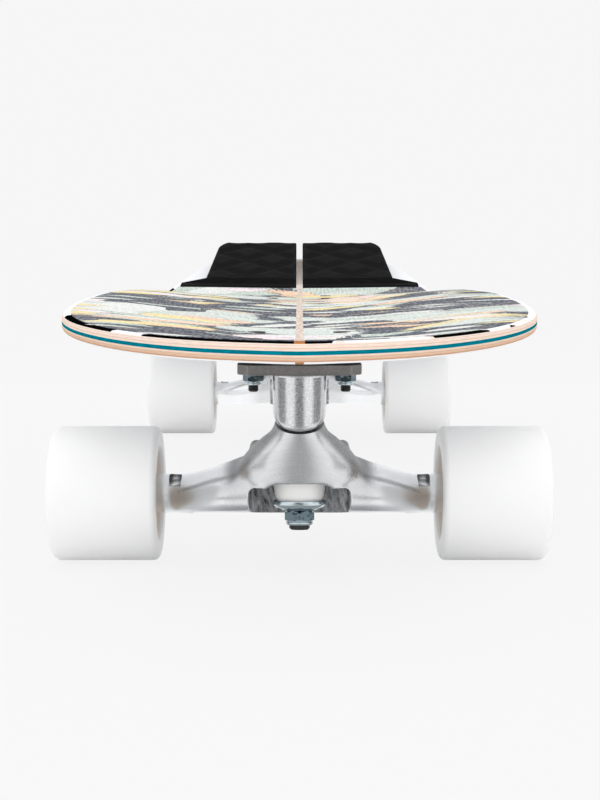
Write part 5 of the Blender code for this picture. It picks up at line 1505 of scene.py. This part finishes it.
def grit_finish(looks):
    """Clear grit over the print: a misted ground with fine sparkle and a rough surface."""
    finish = Finish("clear_grit", specular_ior_level=0.0)
    place = finish.place()
    printed = streaks(finish, looks.misted)
    color = finish.mix(strip(finish, STRINGER_HALF, 0.0002), printed, wood(finish, *GRIT_WOOD))
    fine = finish.noise(place, 900.0, 1.0)
    coarse = finish.noise(place, (620.0, 90.0, 0.0), 2.0, 0.6)
    value = finish.node("RGBToBW", None, {0: color})
    contrast = finish.spread(finish.smooth(value, 0.12, 0.7), 3.4, 0.45)
    speck = 1.0 + ((fine - 0.5) * 1.2 + (coarse - 0.5) * 1.5) * contrast
    haze = finish.mix(0.09, finish.tinted(color, speck.most(0.12)), screen(205, 207, 212))
    grains = finish.cells(place, 1300.0)
    return finish.coat(haze, finish.spread(fine, 0.6, 0.9), grains + fine * 0.6, 0.0002, 0.6)


def edge_finish(looks):
    """Edge of the pressed plies: pale veneers, glue lines and the dyed ply, between print and lacquer; the
    lower plies and their lines are darker, partly painted shade.
    """
    finish = Finish("ply_edge", specular_ior_level=0.0)
    place = finish.place()
    depth = finish.node("Attribute", {"attribute_name": "depth"}, output="Fac")
    wander = finish.noise(place, 16.0, 2.0)
    ply = depth * PLY_COUNT + (wander - 0.5) * 0.16
    level = ply / PLY_COUNT
    color = finish.ramp(level, [(at / PLY_COUNT, screen(*tone)) for at, tone in PLY_TONES])
    across = ply - ply.floor()
    lines = finish.smooth(abs(across - 0.5), 0.36, 0.47)
    dyed = finish.band(level, 0.402, 0.412, 0.588, 0.598)
    x, y, z = finish.split(place)
    layer = ply.floor() * 7.0
    fibre = finish.noise((x * 240.0, y * 240.0, z * 2400.0 + layer), 1.0, 3.0, 0.65)
    dash = finish.noise((x * 80.0, y * 80.0, z * 4600.0 + layer), 1.0, 2.0, 0.6)
    tone = (0.8 + fibre * 0.34) * (1.0 - finish.smooth(dash, 0.6, 0.7) * 0.24)
    color = finish.tinted(color, tone)
    # Glue lines grow darker towards the underside, partly painted shade.
    deep = 0.42 + finish.smooth(level, 0.55, 0.8) * 0.34
    color = finish.mix(lines * (1.0 - dyed) * deep, color, finish.tinted(screen(196, 134, 104), tone))
    ink = finish.mix(finish.smooth(fibre, 0.3, 0.7), screen(0, 98, 116), looks.dye)
    color = finish.mix(dyed, color, ink)
    ragged = (fibre - 0.5) * 0.03
    printed = finish.fade(level + ragged * 0.3, 0.074, 0.082)
    color = finish.mix(printed, color, rim_print(finish, looks))
    lacquer = finish.smooth(level + ragged, 0.9, 0.91)
    stripe = strip(finish, UNDER_STRIPE_HALF)
    under = finish.mix(stripe, looks.underside, wood(finish, *BARE_WOOD))
    color = finish.mix(lacquer, color, under)
    rough = finish.spread(fibre, 0.34, 0.55) - printed * 0.12
    return finish.coat(color, rough, fibre * 0.6 - lines * 0.5, 0.00012, 0.5)


def underside_finish(looks):
    """White lacquer with one bare wooden stripe down the middle."""
    finish = Finish("underside_lacquer", specular_ior_level=0.5, coat_weight=0.3, coat_roughness=0.15)
    place = finish.place()
    flow = finish.noise(place, 30.0, 3.0)
    grain = finish.noise(place, (420.0, 12.0, 50.0), 3.0, 0.6)
    white = finish.tinted(looks.underside, finish.spread(flow, 0.95, 1.02))
    color = finish.mix(strip(finish, UNDER_STRIPE_HALF), white, wood(finish, *BARE_WOOD))
    return finish.coat(color, finish.spread(flow, 0.22, 0.36), grain, 0.00004, 0.35)


def foam_finish(looks):
    """Matt moulded foam with fine pores."""
    finish = Finish("pad_foam", specular_ior_level=0.12)
    place = finish.place()
    pores = finish.cells(place, 1500.0)
    skin = finish.noise(place, 90.0, 3.0)
    fine = finish.noise(place, 900.0, 3.0, 0.6)
    tone = 0.84 + skin * 0.24 + (fine - 0.5) * 0.16
    height = finish.smooth(pores, 0.0, 0.45) * 0.6 + fine * 0.4
    color = finish.tinted(looks.foam, tone)
    return finish.coat(color, finish.spread(skin, 0.72, 0.92), height, 0.00022, 0.7)


def urethane_finish(name, color, roughness, recess_shade_radius=0.0):
    """Cast urethane: faintly cloudy, with fine rings left by the lathe, and painted warm shade inside the
    recess.
    """
    finish = Finish(name, specular_ior_level=0.45, ior=1.5)
    place = finish.place()
    _, y, z = finish.split(place)
    cloud = finish.noise(place, 40.0, 3.0)
    fine = finish.noise(place, 1400.0, 2.0, 0.6)
    around = (y * y + (z - AXLE_Z) * (z - AXLE_Z)).root()
    rings = finish.noise((around * 2400.0, 0.0, 0.0), 1.0, 2.0)
    tone = finish.spread(cloud, 0.985, 1.01)
    # Painted shade: a warm, darker tint within the recess radius.
    inside = finish.fade(around, recess_shade_radius - 0.0004, recess_shade_radius + 0.0004)
    tint = finish.mix(inside, color, screen(224, 212, 199))
    rough = finish.spread(cloud, roughness - 0.05, roughness + 0.07)
    return finish.coat(finish.tinted(tint, tone), rough, fine + rings * 0.12, 0.00003, 0.35)


def hanger_finish(looks):
    """Tumbled casting with a linished front: fine arcs in front, coarse grain on the flanks, painted shade
    in the crease, the window's pockets and the arms' cavities, and painted light on the arms.
    """
    finish = Finish("hanger_aluminium", metallic=1.0)
    place = finish.place()
    x, y, z = finish.split(place)
    up = z - AXLE_Z
    flank = abs(x) + up * 0.86
    shoulder = finish.smooth(flank, *SHOULDER_FLANK) * finish.smooth(up, *SHOULDER_UP)
    shoulder = shoulder * finish.fade(abs(x), *SHOULDER_END)
    # The crease between the ridge and the tube is rougher and darker; its darkening is painted shade.
    crease = finish.smooth(abs(x), 0.026, 0.03) * finish.fade(abs(x), 0.053, 0.058)
    valley_at = 0.0226 - abs(x) * 0.36
    rough_shaded_crease = finish.fade(abs(up - valley_at), 0.0001, 0.0014) * crease * 0.6
    # The window's pockets are rougher, streaked and darker; their darkening is painted shade.
    rough_shaded_pocket = finish.fade(abs(x), POCKET_HALF_WIDTH - 0.0006, POCKET_HALF_WIDTH + 0.0004)
    rough_shaded_pocket = rough_shaded_pocket * finish.fade(up, POCKET_TOP_UP + ARCH_RISE, POCKET_TOP_UP + ARCH_RISE + 0.001)
    rough_shaded_pocket = rough_shaded_pocket * finish.smooth(y, *HOLLOW_BACK)
    rough = shoulder.most(rough_shaded_crease).most(rough_shaded_pocket)
    patch = finish.noise(place, 70.0, 3.0)
    grain = finish.noise(place, 1100.0, 2.0, 0.65)
    pits = finish.cells(place, 900.0)
    centre = up + 0.02
    radius = (x * x + centre * centre).root()
    front = finish.fade(abs(x), *FRONT_FACE)
    arcs = finish.noise((radius * 2600.0, x * 30.0, y * 30.0), 1.0, 3.0, 0.7) * front + 0.5
    arcs = arcs - front * 0.5
    marks = finish.noise((x * 60.0, z * 1800.0, y * 60.0), 1.0, 2.0, 0.6)
    tone = 0.93 + (patch - 0.5) * 0.14 + (grain - 0.5) * (0.12 + rough * 0.7) + (arcs - 0.5) * 0.26
    smears = finish.noise((x * 420.0 + z * 90.0, z * 120.0, y * 300.0), 1.0, 3.0, 0.7)
    # The arms are painted lighter and glossier: a brighter polish, and a painted reflection of the bright
    # wheels they face.
    arm = finish.smooth(abs(x), *ARM_FACE)
    # The arms' cavities are darkened: painted shade.
    notch_shade = finish.band(abs(x), *NOTCH_SPAN)
    notch_shade = notch_shade * finish.smooth(up, 0.004, 0.005) * finish.smooth(up - y * 0.5, 0.005, 0.0062)
    # Darkening of the crease, the pockets and the cavities is painted shade, and the arms' lift is painted
    # light; on the shoulders the darker tone is the duller cast skin.
    tone = tone * (1.0 - rough * 0.5) * (1.0 - rough_shaded_crease * 0.35) * (1.0 + arm * 0.26) * (1.0 - notch_shade * 0.62)
    tone = tone * (1.0 + rough_shaded_pocket * ((smears - 0.5) * 4.2 - 0.1))
    dull = finish.spread(patch, 0.24, 0.32) + rough * 0.22 + (grain - 0.5) * 0.06 - arm * 0.05
    height = arcs * 0.4 + marks * 0.08 + grain * (0.15 + rough * 1.4) + finish.smooth(pits, 0.0, 0.4) * rough
    return finish.coat(finish.tinted(looks.hanger, tone), dull, height, 0.00005, 0.4)


def baseplate_finish(looks):
    """Dull tumbled casting, with a painted shadow along the top edge under the deck; the post below the
    flange is turned bright, with fine grain.
    """
    finish = Finish("baseplate_aluminium", metallic=1.0)
    place = finish.place()
    x, y, z = finish.split(place)
    post = finish.fade(z, PLATE_FOOT - 0.0006, PLATE_FOOT + 0.0002)
    patch = finish.noise(place, 120.0, 4.0, 0.6)
    grain = finish.noise(place, 1300.0, 2.0, 0.7)
    turned_lines = finish.noise((x * 20.0, y * 20.0, z * 3400.0), 1.0, 2.0, 0.6)
    upright = finish.noise((x * 900.0, y * 900.0, z * 60.0), 1.0, 2.0, 0.6)
    # Painted shadow: a dark line along the flange's top edge, where the deck meets it.
    gap_shadow = 1.0 - finish.smooth(z, PLATE_TOP - 0.001, PLATE_TOP - 0.0006) * 0.85
    dull = finish.tinted(looks.baseplate, (0.61 + patch * 0.28 + (grain - 0.5) * 0.6) * gap_shadow)
    bright = finish.tinted(looks.hanger, 0.89 + (grain - 0.5) * 0.66 + (upright - 0.5) * 0.16)
    height = grain * (0.8 - post * 0.5) + patch * (1.2 - post * 1.1) + turned_lines * 0.1 * post
    rough = finish.spread(grain, 0.36, 0.5) - post * 0.19
    return finish.coat(finish.mix(post, dull, bright), rough, height, 0.00006, 0.45)


def plated_finish(name, looks):
    """Plated steel with faint streaks and handling marks, made once for all its pieces; the nuts' flats take
    a darker copy, a painted reflection of dark surroundings.
    """
    if name in bpy.data.materials:
        return bpy.data.materials[name]
    color, low, high, size, dents = {
        "zinc_plating": (looks.zinc, 0.07, 0.16, 500.0, 30.0),
        "nut_flats_painted_dark": (looks.flats, 0.06, 0.14, 420.0, 60.0),
    }[name]
    finish = Finish(name, metallic=1.0)
    place = finish.place()
    grain = finish.noise(place, size, 3.0, 0.6)
    cloud = finish.noise(place, 160.0, 2.0)
    tone = 0.9 + (grain - 0.5) * 0.2 + (cloud - 0.5) * 0.14
    rough = finish.spread(cloud, low, high)
    return finish.coat(finish.tinted(color, tone), rough, grain + cloud * dents, 0.00003, 0.4)


def plastic_finish():
    """Pale moulded plastic of the pivot cup."""
    finish = Finish("cup_plastic", specular_ior_level=0.4)
    grain = finish.noise(finish.place(), 500.0, 3.0)
    color = finish.tinted(screen(226, 226, 222), finish.spread(grain, 0.96, 1.02))
    return finish.coat(color, finish.spread(grain, 0.4, 0.55), grain, 0.00003, 0.3)


def dress_node(name, finish):
    """Give a CAD node that keeps its shape a better material."""
    node = frame["nodes"][name]
    node.data.materials.clear()
    node.data.materials.append(finish)


# Makers; the bearings and the black parts wear the frame's own steels
class LONGBOARD_OT_deck(Operator):
    """Make the pressed deck with its print, plies and underside"""

    bl_idname = "longboard.deck"
    bl_label = "Deck"

    def execute(self, context):
        looks = context.scene.longboard_deck
        finishes = (top_finish(looks), underside_finish(looks), edge_finish(looks))
        add_piece("deck_board", deck_mesh(), finishes, "board", ("deck",))
        return {"FINISHED"}


class LONGBOARD_OT_grit(Operator):
    """Lay the clear grit sheet on the deck"""

    bl_idname = "longboard.grit"
    bl_label = "Grit"

    def execute(self, context):
        finish = grit_finish(context.scene.longboard_deck)
        add_piece("clear_grit", grit_mesh(), (finish,), "board", ("grit_sheet",))
        return {"FINISHED"}


class LONGBOARD_OT_pads(Operator):
    """Make both halves of the quilted tail pad"""

    bl_idname = "longboard.tail_pads"
    bl_label = "Tail pads"

    def execute(self, context):
        looks = context.scene.longboard_pads
        finish = foam_finish(looks)
        for side, sign in SIDES:
            pad = add_piece(f"quilted_pad_{side}", pad_mesh(sign, looks), (finish,), "board",
                            (f"tail_pad_{side}",))
        return {"FINISHED"}


class LONGBOARD_OT_wheels(Operator):
    """Make the four wheels"""

    bl_idname = "longboard.wheels"
    bl_label = "Wheels"

    def execute(self, context):
        looks = context.scene.longboard_wheels
        # The wheel's recess gets painted shade inside this radius.
        finish = urethane_finish("wheel_urethane", looks.urethane, 0.38, WHEEL_MOUTH_RADIUS - 0.0002)
        mesh = wheel_mesh(looks)
        for truck, axle_y, _ in TRUCKS:
            for side, sign in SIDES:
                name = f"{truck}_{side}"
                add_piece(f"{name}_tread", mesh, (finish,), f"{name}_rolling_wheel",
                          (f"{name}_wheel",), truck_matrix(axle_y, sign))
        return {"FINISHED"}


class LONGBOARD_OT_bearings(Operator):
    """Make the bearings, speed rings, axle nuts and axles"""

    bl_idname = "longboard.bearings"
    bl_label = "Bearings and axles"

    def execute(self, context):
        looks = context.scene.longboard_trucks
        plating = plated_finish("zinc_plating", looks)
        ring = (AXLE_RADIUS + RING_FIT, RING_RADIUS, 0.0, RING_THICKNESS, RING_EDGE)
        nut = nut_lathe(AXLE_NUT_FLATS, AXLE_NUT_HEIGHT, AXLE_RADIUS, AXLE_NUT_COLLAR)
        shapes = (("inner_bearing", bearing_lathe(), INNER_BEARING_START, 35.0),
                  ("outer_bearing", bearing_lathe(), OUTER_BEARING_START, 35.0),
                  ("axle_nut", nut, AXLE_NUT_START, NUT_SHARP),
                  ("inner_speed_ring", ring_lathe(*ring), INNER_RING_START, 35.0),
                  ("outer_speed_ring", ring_lathe(*ring), OUTER_RING_START, 35.0))
        meshes = {label: finish_mesh(label, turned(shape, along_x(start)), sharp)
                  for label, shape, start, sharp in shapes}
        axle = axle_mesh()
        for truck, axle_y, facing in TRUCKS:
            steering = f"{truck}_steering_axle"
            add_piece(f"{truck}_threaded_axle", axle, (plating,), steering,
                      (f"{truck}_axle",), truck_matrix(axle_y, facing))
            for side, sign in SIDES:
                name = f"{truck}_{side}"
                for label, mesh in meshes.items():
                    finishes = (plating, plated_finish("nut_flats_painted_dark", looks))
                    body, slot = steering, "zinc_steel"
                    if label.endswith("bearing"):
                        finishes = (bpy.data.materials["bearing_steel"],)
                        body, slot = f"{name}_rolling_wheel", "bearing_steel"
                    add_piece(f"{name}_{label}_detail", mesh, finishes, body, (f"{name}_{label}",),
                              truck_matrix(axle_y, sign))
                dress_node(f"{name}_bearing_spacer", plating)
        return {"FINISHED"}


class LONGBOARD_OT_hangers(Operator):
    """Cast both hangers"""

    bl_idname = "longboard.hangers"
    bl_label = "Hangers"

    def execute(self, context):
        looks = context.scene.longboard_trucks
        finish = hanger_finish(looks)
        mesh = cast("hanger", hanger_solids(), looks, looks.soften, hanger_hollows(), hanger_bores())
        pivot = pivot_mesh()
        for truck, place in trucks():
            body = f"{truck}_steering_axle"
            add_piece(f"{truck}_hanger_casting", mesh, (finish,), body,
                      (f"{truck}_hanger",), place)
            add_piece(f"{truck}_hanger_pivot", pivot, (finish,), body, (), place)
        return {"FINISHED"}


class LONGBOARD_OT_baseplates(Operator):
    """Cast both baseplates, and finish the pivot cups in them"""

    bl_idname = "longboard.baseplates"
    bl_label = "Baseplates"

    def execute(self, context):
        looks = context.scene.longboard_trucks
        finish = baseplate_finish(looks)
        plastic = plastic_finish()
        mesh = cast("baseplate", baseplate_solids(), looks, FLANGE_SOFTEN, (), baseplate_bores())
        for truck, place in trucks():
            add_piece(f"{truck}_baseplate_casting", mesh, (finish,), "board",
                      (f"{truck}_baseplate",), place)
            dress_node(f"{truck}_pivot_cup", plastic)
        return {"FINISHED"}


class LONGBOARD_OT_bushings(Operator):
    """Make the bushings between the board and the hanger"""

    bl_idname = "longboard.bushings"
    bl_label = "Bushings"

    def execute(self, context):
        finish = urethane_finish("bushing_urethane", screen(246, 245, 243), 0.3)
        bushings = (("board_bushing", board_bushing_mesh, BOARD_BUSHING_TOP, STACK_UP),
                    ("road_bushing", road_bushing_mesh, ROAD_FOOT, -STACK_UP))
        for truck, place in trucks():
            for label, maker, held, moved in bushings:
                mesh = maker()
                mesh.materials.append(finish)
                piece = placed(f"{truck}_{label}_urethane", mesh)
                piece.matrix_world = place
                start, end = (place @ (RING_CENTRE + KINGPIN_AXIS * at) for at in (held, moved))
                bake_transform(piece)
                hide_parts(f"{truck}_{label}")
        return {"FINISHED"}


class LONGBOARD_OT_fasteners(Operator):
    """Make the kingpin nuts, washers and deck bolts"""

    bl_idname = "longboard.fasteners"
    bl_label = "Fasteners"

    def execute(self, context):
        looks = context.scene.longboard_trucks
        plating = (plated_finish("zinc_plating", looks), plated_finish("nut_flats_painted_dark", looks))
        dark = (bpy.data.materials["black_steel"],)
        washer = ring_lathe(KINGPIN_RADIUS + GAP, TOP_WASHER_RADIUS, BOARD_BUSHING_TOP + GAP,
                            BOSS_FOOT - GAP, TOP_WASHER_EDGE)
        nut = nut_lathe(KINGPIN_NUT_FLATS, KINGPIN_NUT_HEIGHT, KINGPIN_RADIUS, KINGPIN_NUT_COLLAR,
                        math.radians(30.0))
        turned(nut, along_kingpin() @ hung(NUT_TOP))
        meshes = {
            "kingpin_nut": finish_mesh("kingpin_nut", nut, NUT_SHARP),
            "top_washer": finish_mesh("top_washer", turned(washer, along_kingpin())),
            "cup_washer": cup_washer_mesh(),
        }
        tail = kingpin_tail_mesh()
        for truck, axle_y, facing in TRUCKS:
            place = truck_matrix(axle_y, facing)
            for label, mesh in meshes.items():
                add_piece(f"{truck}_{label}_detail", mesh, plating, "board",
                          (f"{truck}_{label}",), place)
            add_piece(f"{truck}_kingpin_thread", tail, dark, "board", (), place)
            dress_node(f"{truck}_kingpin", *dark)
            for row, offset in BOLT_ROWS:
                for side, sign in SIDES:
                    self.add_bolt(f"{truck}_{row}_{side}_deck_bolt", sign * BOLT_ACROSS / 2,
                                  axle_y + facing * offset, plating, dark)
        return {"FINISHED"}

    def add_bolt(self, name, x, y, plating, dark):
        """One deck bolt and the nut on it."""
        place = Matrix.Translation((x, y, 0.0))
        bolt = deck_bolt_mesh(top_height(x, y - FRONT_AXLE_Y) + BOLT_STAND)
        add_piece(f"{name}_shank", finish_mesh(f"{name}_shank", bolt), dark, "board", (),
                  place)
        nut = turned(nut_lathe(BOLT_NUT_FLATS, BOLT_NUT_HEIGHT, BOLT_RADIUS, BOLT_NUT_COLLAR),
                     hung(PLATE_FOOT - GAP))
        add_piece(f"{name}_nut", finish_mesh(f"{name}_nut", nut, NUT_SHARP), plating, "board",
                  (name,), place)


class LONGBOARD_OT_stage(Operator):
    """Make the floor, the backdrop, the lights, the mirrored panels and the camera"""

    bl_idname = "longboard.stage"
    bl_label = "Stage"

    def execute(self, context):
        looks = context.scene.longboard_stage
        self.make_floor(looks)
        self.make_world(looks)
        self.make_lights()
        if looks.panels:
            self.make_panels()
        self.make_camera()
        return {"FINISHED"}

    def seen(self, finish):
        """1 for rays that see the backdrop: from the camera, or off metal, or through glass."""
        path = finish.node("LightPath", output="Is Camera Ray")
        outputs = path.socket.node.outputs
        glossy = Signal(finish, outputs["Is Glossy Ray"])
        through = Signal(finish, outputs["Is Transmission Ray"])
        return path.most(glossy).most(through)

    def make_floor(self, looks):
        """Pale floor that keeps a soft shadow near the board and runs into the backdrop."""
        bm = bmesh.new()
        bmesh.ops.create_grid(bm, x_segments=1, y_segments=1, size=20.0)
        mesh = finish_mesh("floor", bm)
        finish = Finish("floor_paper", roughness=0.9, specular_ior_level=0.0, base_color=looks.backdrop)
        place = finish.place()
        away = finish.node("VectorMath", {"operation": "LENGTH"}, {0: place}, "Value")
        near = finish.fade(away, 0.5, 1.2)
        flat = finish.node("Emission", None, {"Color": looks.backdrop, "Strength": 1.0})
        shown = self.seen(finish) * (1.0 - near * looks.shadow)
        principled = Signal(finish, finish.nodes["Principled BSDF"].outputs[0])
        finish.show(finish.node("MixShader", None, {0: shown, 1: principled, 2: flat}))
        mesh.materials.append(finish.material)
        placed("floor", mesh)

    def make_world(self, looks):
        """Even room light, with the plain backdrop for what sees it."""
        finish = Finish("studio", bpy.data.worlds.new("studio"))
        bpy.context.scene.world = finish.material
        room = finish.nodes["Background"]
        finish.feed(room.inputs["Color"], (1.0, 1.0, 1.0))
        finish.feed(room.inputs["Strength"], looks.daylight)
        plain = finish.node("Background", None, {"Color": looks.backdrop, "Strength": 1.0})
        both = finish.node("MixShader", None, {
            0: self.seen(finish), 1: Signal(finish, room.outputs[0]), 2: plain})
        finish.show(both, "World Output")

    def make_lights(self):
        """Soft boxes above and in front, and a small one under the deck, aimed at the rear truck, that
        leaves the floor alone.
        """
        for name, spot, size, watts, target in LAMPS:
            lamp = bpy.data.lights.new(name, "AREA")
            lamp.shape = "SQUARE"
            lamp.size = size
            lamp.energy = watts
            holder = placed(name, lamp)
            holder.location = spot
            aim = Vector(target) - holder.location
            holder.rotation_euler = aim.to_track_quat("-Z", "Y").to_euler()
            holder.visible_glossy = name == "top_box"
            if name == "under_box":
                holder.light_linking.receiver_collection = self.board_pieces()

    def board_pieces(self):
        """Collection of the board's own meshes, for the light that leaves the floor alone."""
        pieces = bpy.data.collections.new("board_pieces")
        for piece in bpy.context.scene.objects:
            if piece.type == "MESH" and piece.name != "floor":
                pieces.objects.link(piece)
        return pieces

    def make_panels(self):
        """Bright and dark studio panels, and a card on the floor, that only reflections see."""
        bm = bmesh.new()
        circle = [(math.sin(math.tau * step / 96), -math.cos(math.tau * step / 96)) for step in range(96)]
        rings = [[bm.verts.new((PANEL_RADIUS * x, PANEL_RADIUS * y, z)) for x, y in circle]
                 for z in (0.001, PANEL_HEIGHT)]
        join_rings(bm, rings[0], rings[1])
        wall = Finish("studio_panels")
        _, _, z = wall.split(wall.place())
        high = wall.smooth(z, PANEL_RADIUS * 0.1, PANEL_RADIUS * 0.7)
        self.glow(wall, wall.mix(high, PANEL_FOOT_TONE, PANEL_TOP_TONE))
        self.add_card("panels", finish_mesh("panels", bm), wall)
        disc = bmesh.new()
        bmesh.ops.create_circle(disc, cap_ends=True, segments=96, radius=PANEL_RADIUS)
        card = Finish("floor_card")
        x, y, _ = card.split(card.place())
        reach = (x * x + y * y).root()
        # A darker patch right under the front truck stands in for the floor's shadow there: a painted shadow
        # in the reflections.
        under = ((x * 14.0) * (x * 14.0) + (y * 22.0) * (y * 22.0)).root()
        close = card.mix(card.smooth(under, 0.8, 1.5), SHADOWED_FLOOR_TONE, self.around(card, NEAR_LEVELS))
        self.glow(card, card.mix(card.smooth(reach, *NEAR_EDGE), close, self.around(card, PANEL_LEVELS)))
        self.add_card("floor_card", finish_mesh("floor_card", disc), card)

    def around(self, finish, levels):
        """Levels by their direction from the front truck, the same to left and right."""
        x, y, _ = finish.split(finish.place())
        turn = finish.node("Math", {"operation": "ARCTAN2"}, {0: x, 1: y * -1.0})
        stops = [(degrees / 180.0, (level, level, level)) for degrees, level in levels]
        return finish.ramp(abs(turn) / math.pi, stops)

    def glow(self, finish, color):
        """Plain emission in place of the shader."""
        finish.show(finish.node("Emission", None, {"Color": color, "Strength": 1.0}))

    def add_card(self, name, mesh, finish):
        """A panel that only reflections see."""
        mesh.materials.append(finish.material)
        card = placed(name, mesh)
        for ray in ("camera", "diffuse", "shadow", "transmission"):
            setattr(card, f"visible_{ray}", False)
        card.location = (0.0, FRONT_AXLE_Y - POST_AHEAD, CARD_HEIGHT)

    def make_camera(self):
        """Camera at the photograph's place."""
        lens = bpy.data.cameras.new("camera")
        lens.sensor_width = SENSOR
        lens.lens = FOCAL_PIXELS * SENSOR / FRAME_HEIGHT
        lens.shift_x = CAMERA_SHIFT
        lens.clip_start = 0.01
        lens.clip_end = 100.0
        camera = placed("camera", lens)
        camera.location = (0.0, FRONT_AXLE_Y - CAMERA_BACK, CAMERA_HEIGHT)
        camera.rotation_euler = (math.pi / 2 - CAMERA_PITCH, 0.0, 0.0)
        bpy.context.scene.camera = camera
        bpy.context.scene.view_settings.view_transform = "Standard"


LOOKS = {
    "longboard_deck": DeckLooks,
    "longboard_pads": PadLooks,
    "longboard_wheels": WheelLooks,
    "longboard_trucks": TruckLooks,
    "longboard_stage": StageLooks,
}
MAKERS = (
    LONGBOARD_OT_deck,
    LONGBOARD_OT_grit,
    LONGBOARD_OT_pads,
    LONGBOARD_OT_wheels,
    LONGBOARD_OT_bearings,
    LONGBOARD_OT_hangers,
    LONGBOARD_OT_baseplates,
    LONGBOARD_OT_bushings,
    LONGBOARD_OT_fasteners,
    LONGBOARD_OT_stage,
)


class LONGBOARD_PT_looks(Panel):
    """Lists the makers and their settings"""

    bl_label = "Longboard"
    bl_idname = "LONGBOARD_PT_looks"
    bl_space_type = "VIEW_3D"
    bl_region_type = "UI"
    bl_category = "Longboard"

    def draw(self, context):
        for maker in MAKERS:
            self.layout.operator(maker.bl_idname)
        for name, group in LOOKS.items():
            looks = getattr(context.scene, name)
            box = self.layout.box()
            for prop in group.__annotations__:
                box.prop(looks, prop)


def register():
    """Register the groups, makers and panel."""
    for name, group in LOOKS.items():
        bpy.utils.register_class(group)
        setattr(bpy.types.Scene, name, PointerProperty(type=group))
    for maker in MAKERS:
        bpy.utils.register_class(maker)
    bpy.utils.register_class(LONGBOARD_PT_looks)


def unregister():
    """Take everything back out."""
    bpy.utils.unregister_class(LONGBOARD_PT_looks)
    for maker in reversed(MAKERS):
        bpy.utils.unregister_class(maker)
    for name, group in LOOKS.items():
        delattr(bpy.types.Scene, name)
        bpy.utils.unregister_class(group)


def main():
    """Build everything in order."""
    register()
    for maker in MAKERS:
        group, action = maker.bl_idname.split(".")
        getattr(getattr(bpy.ops, group), action)()


if __name__ == "__main__":
    main()
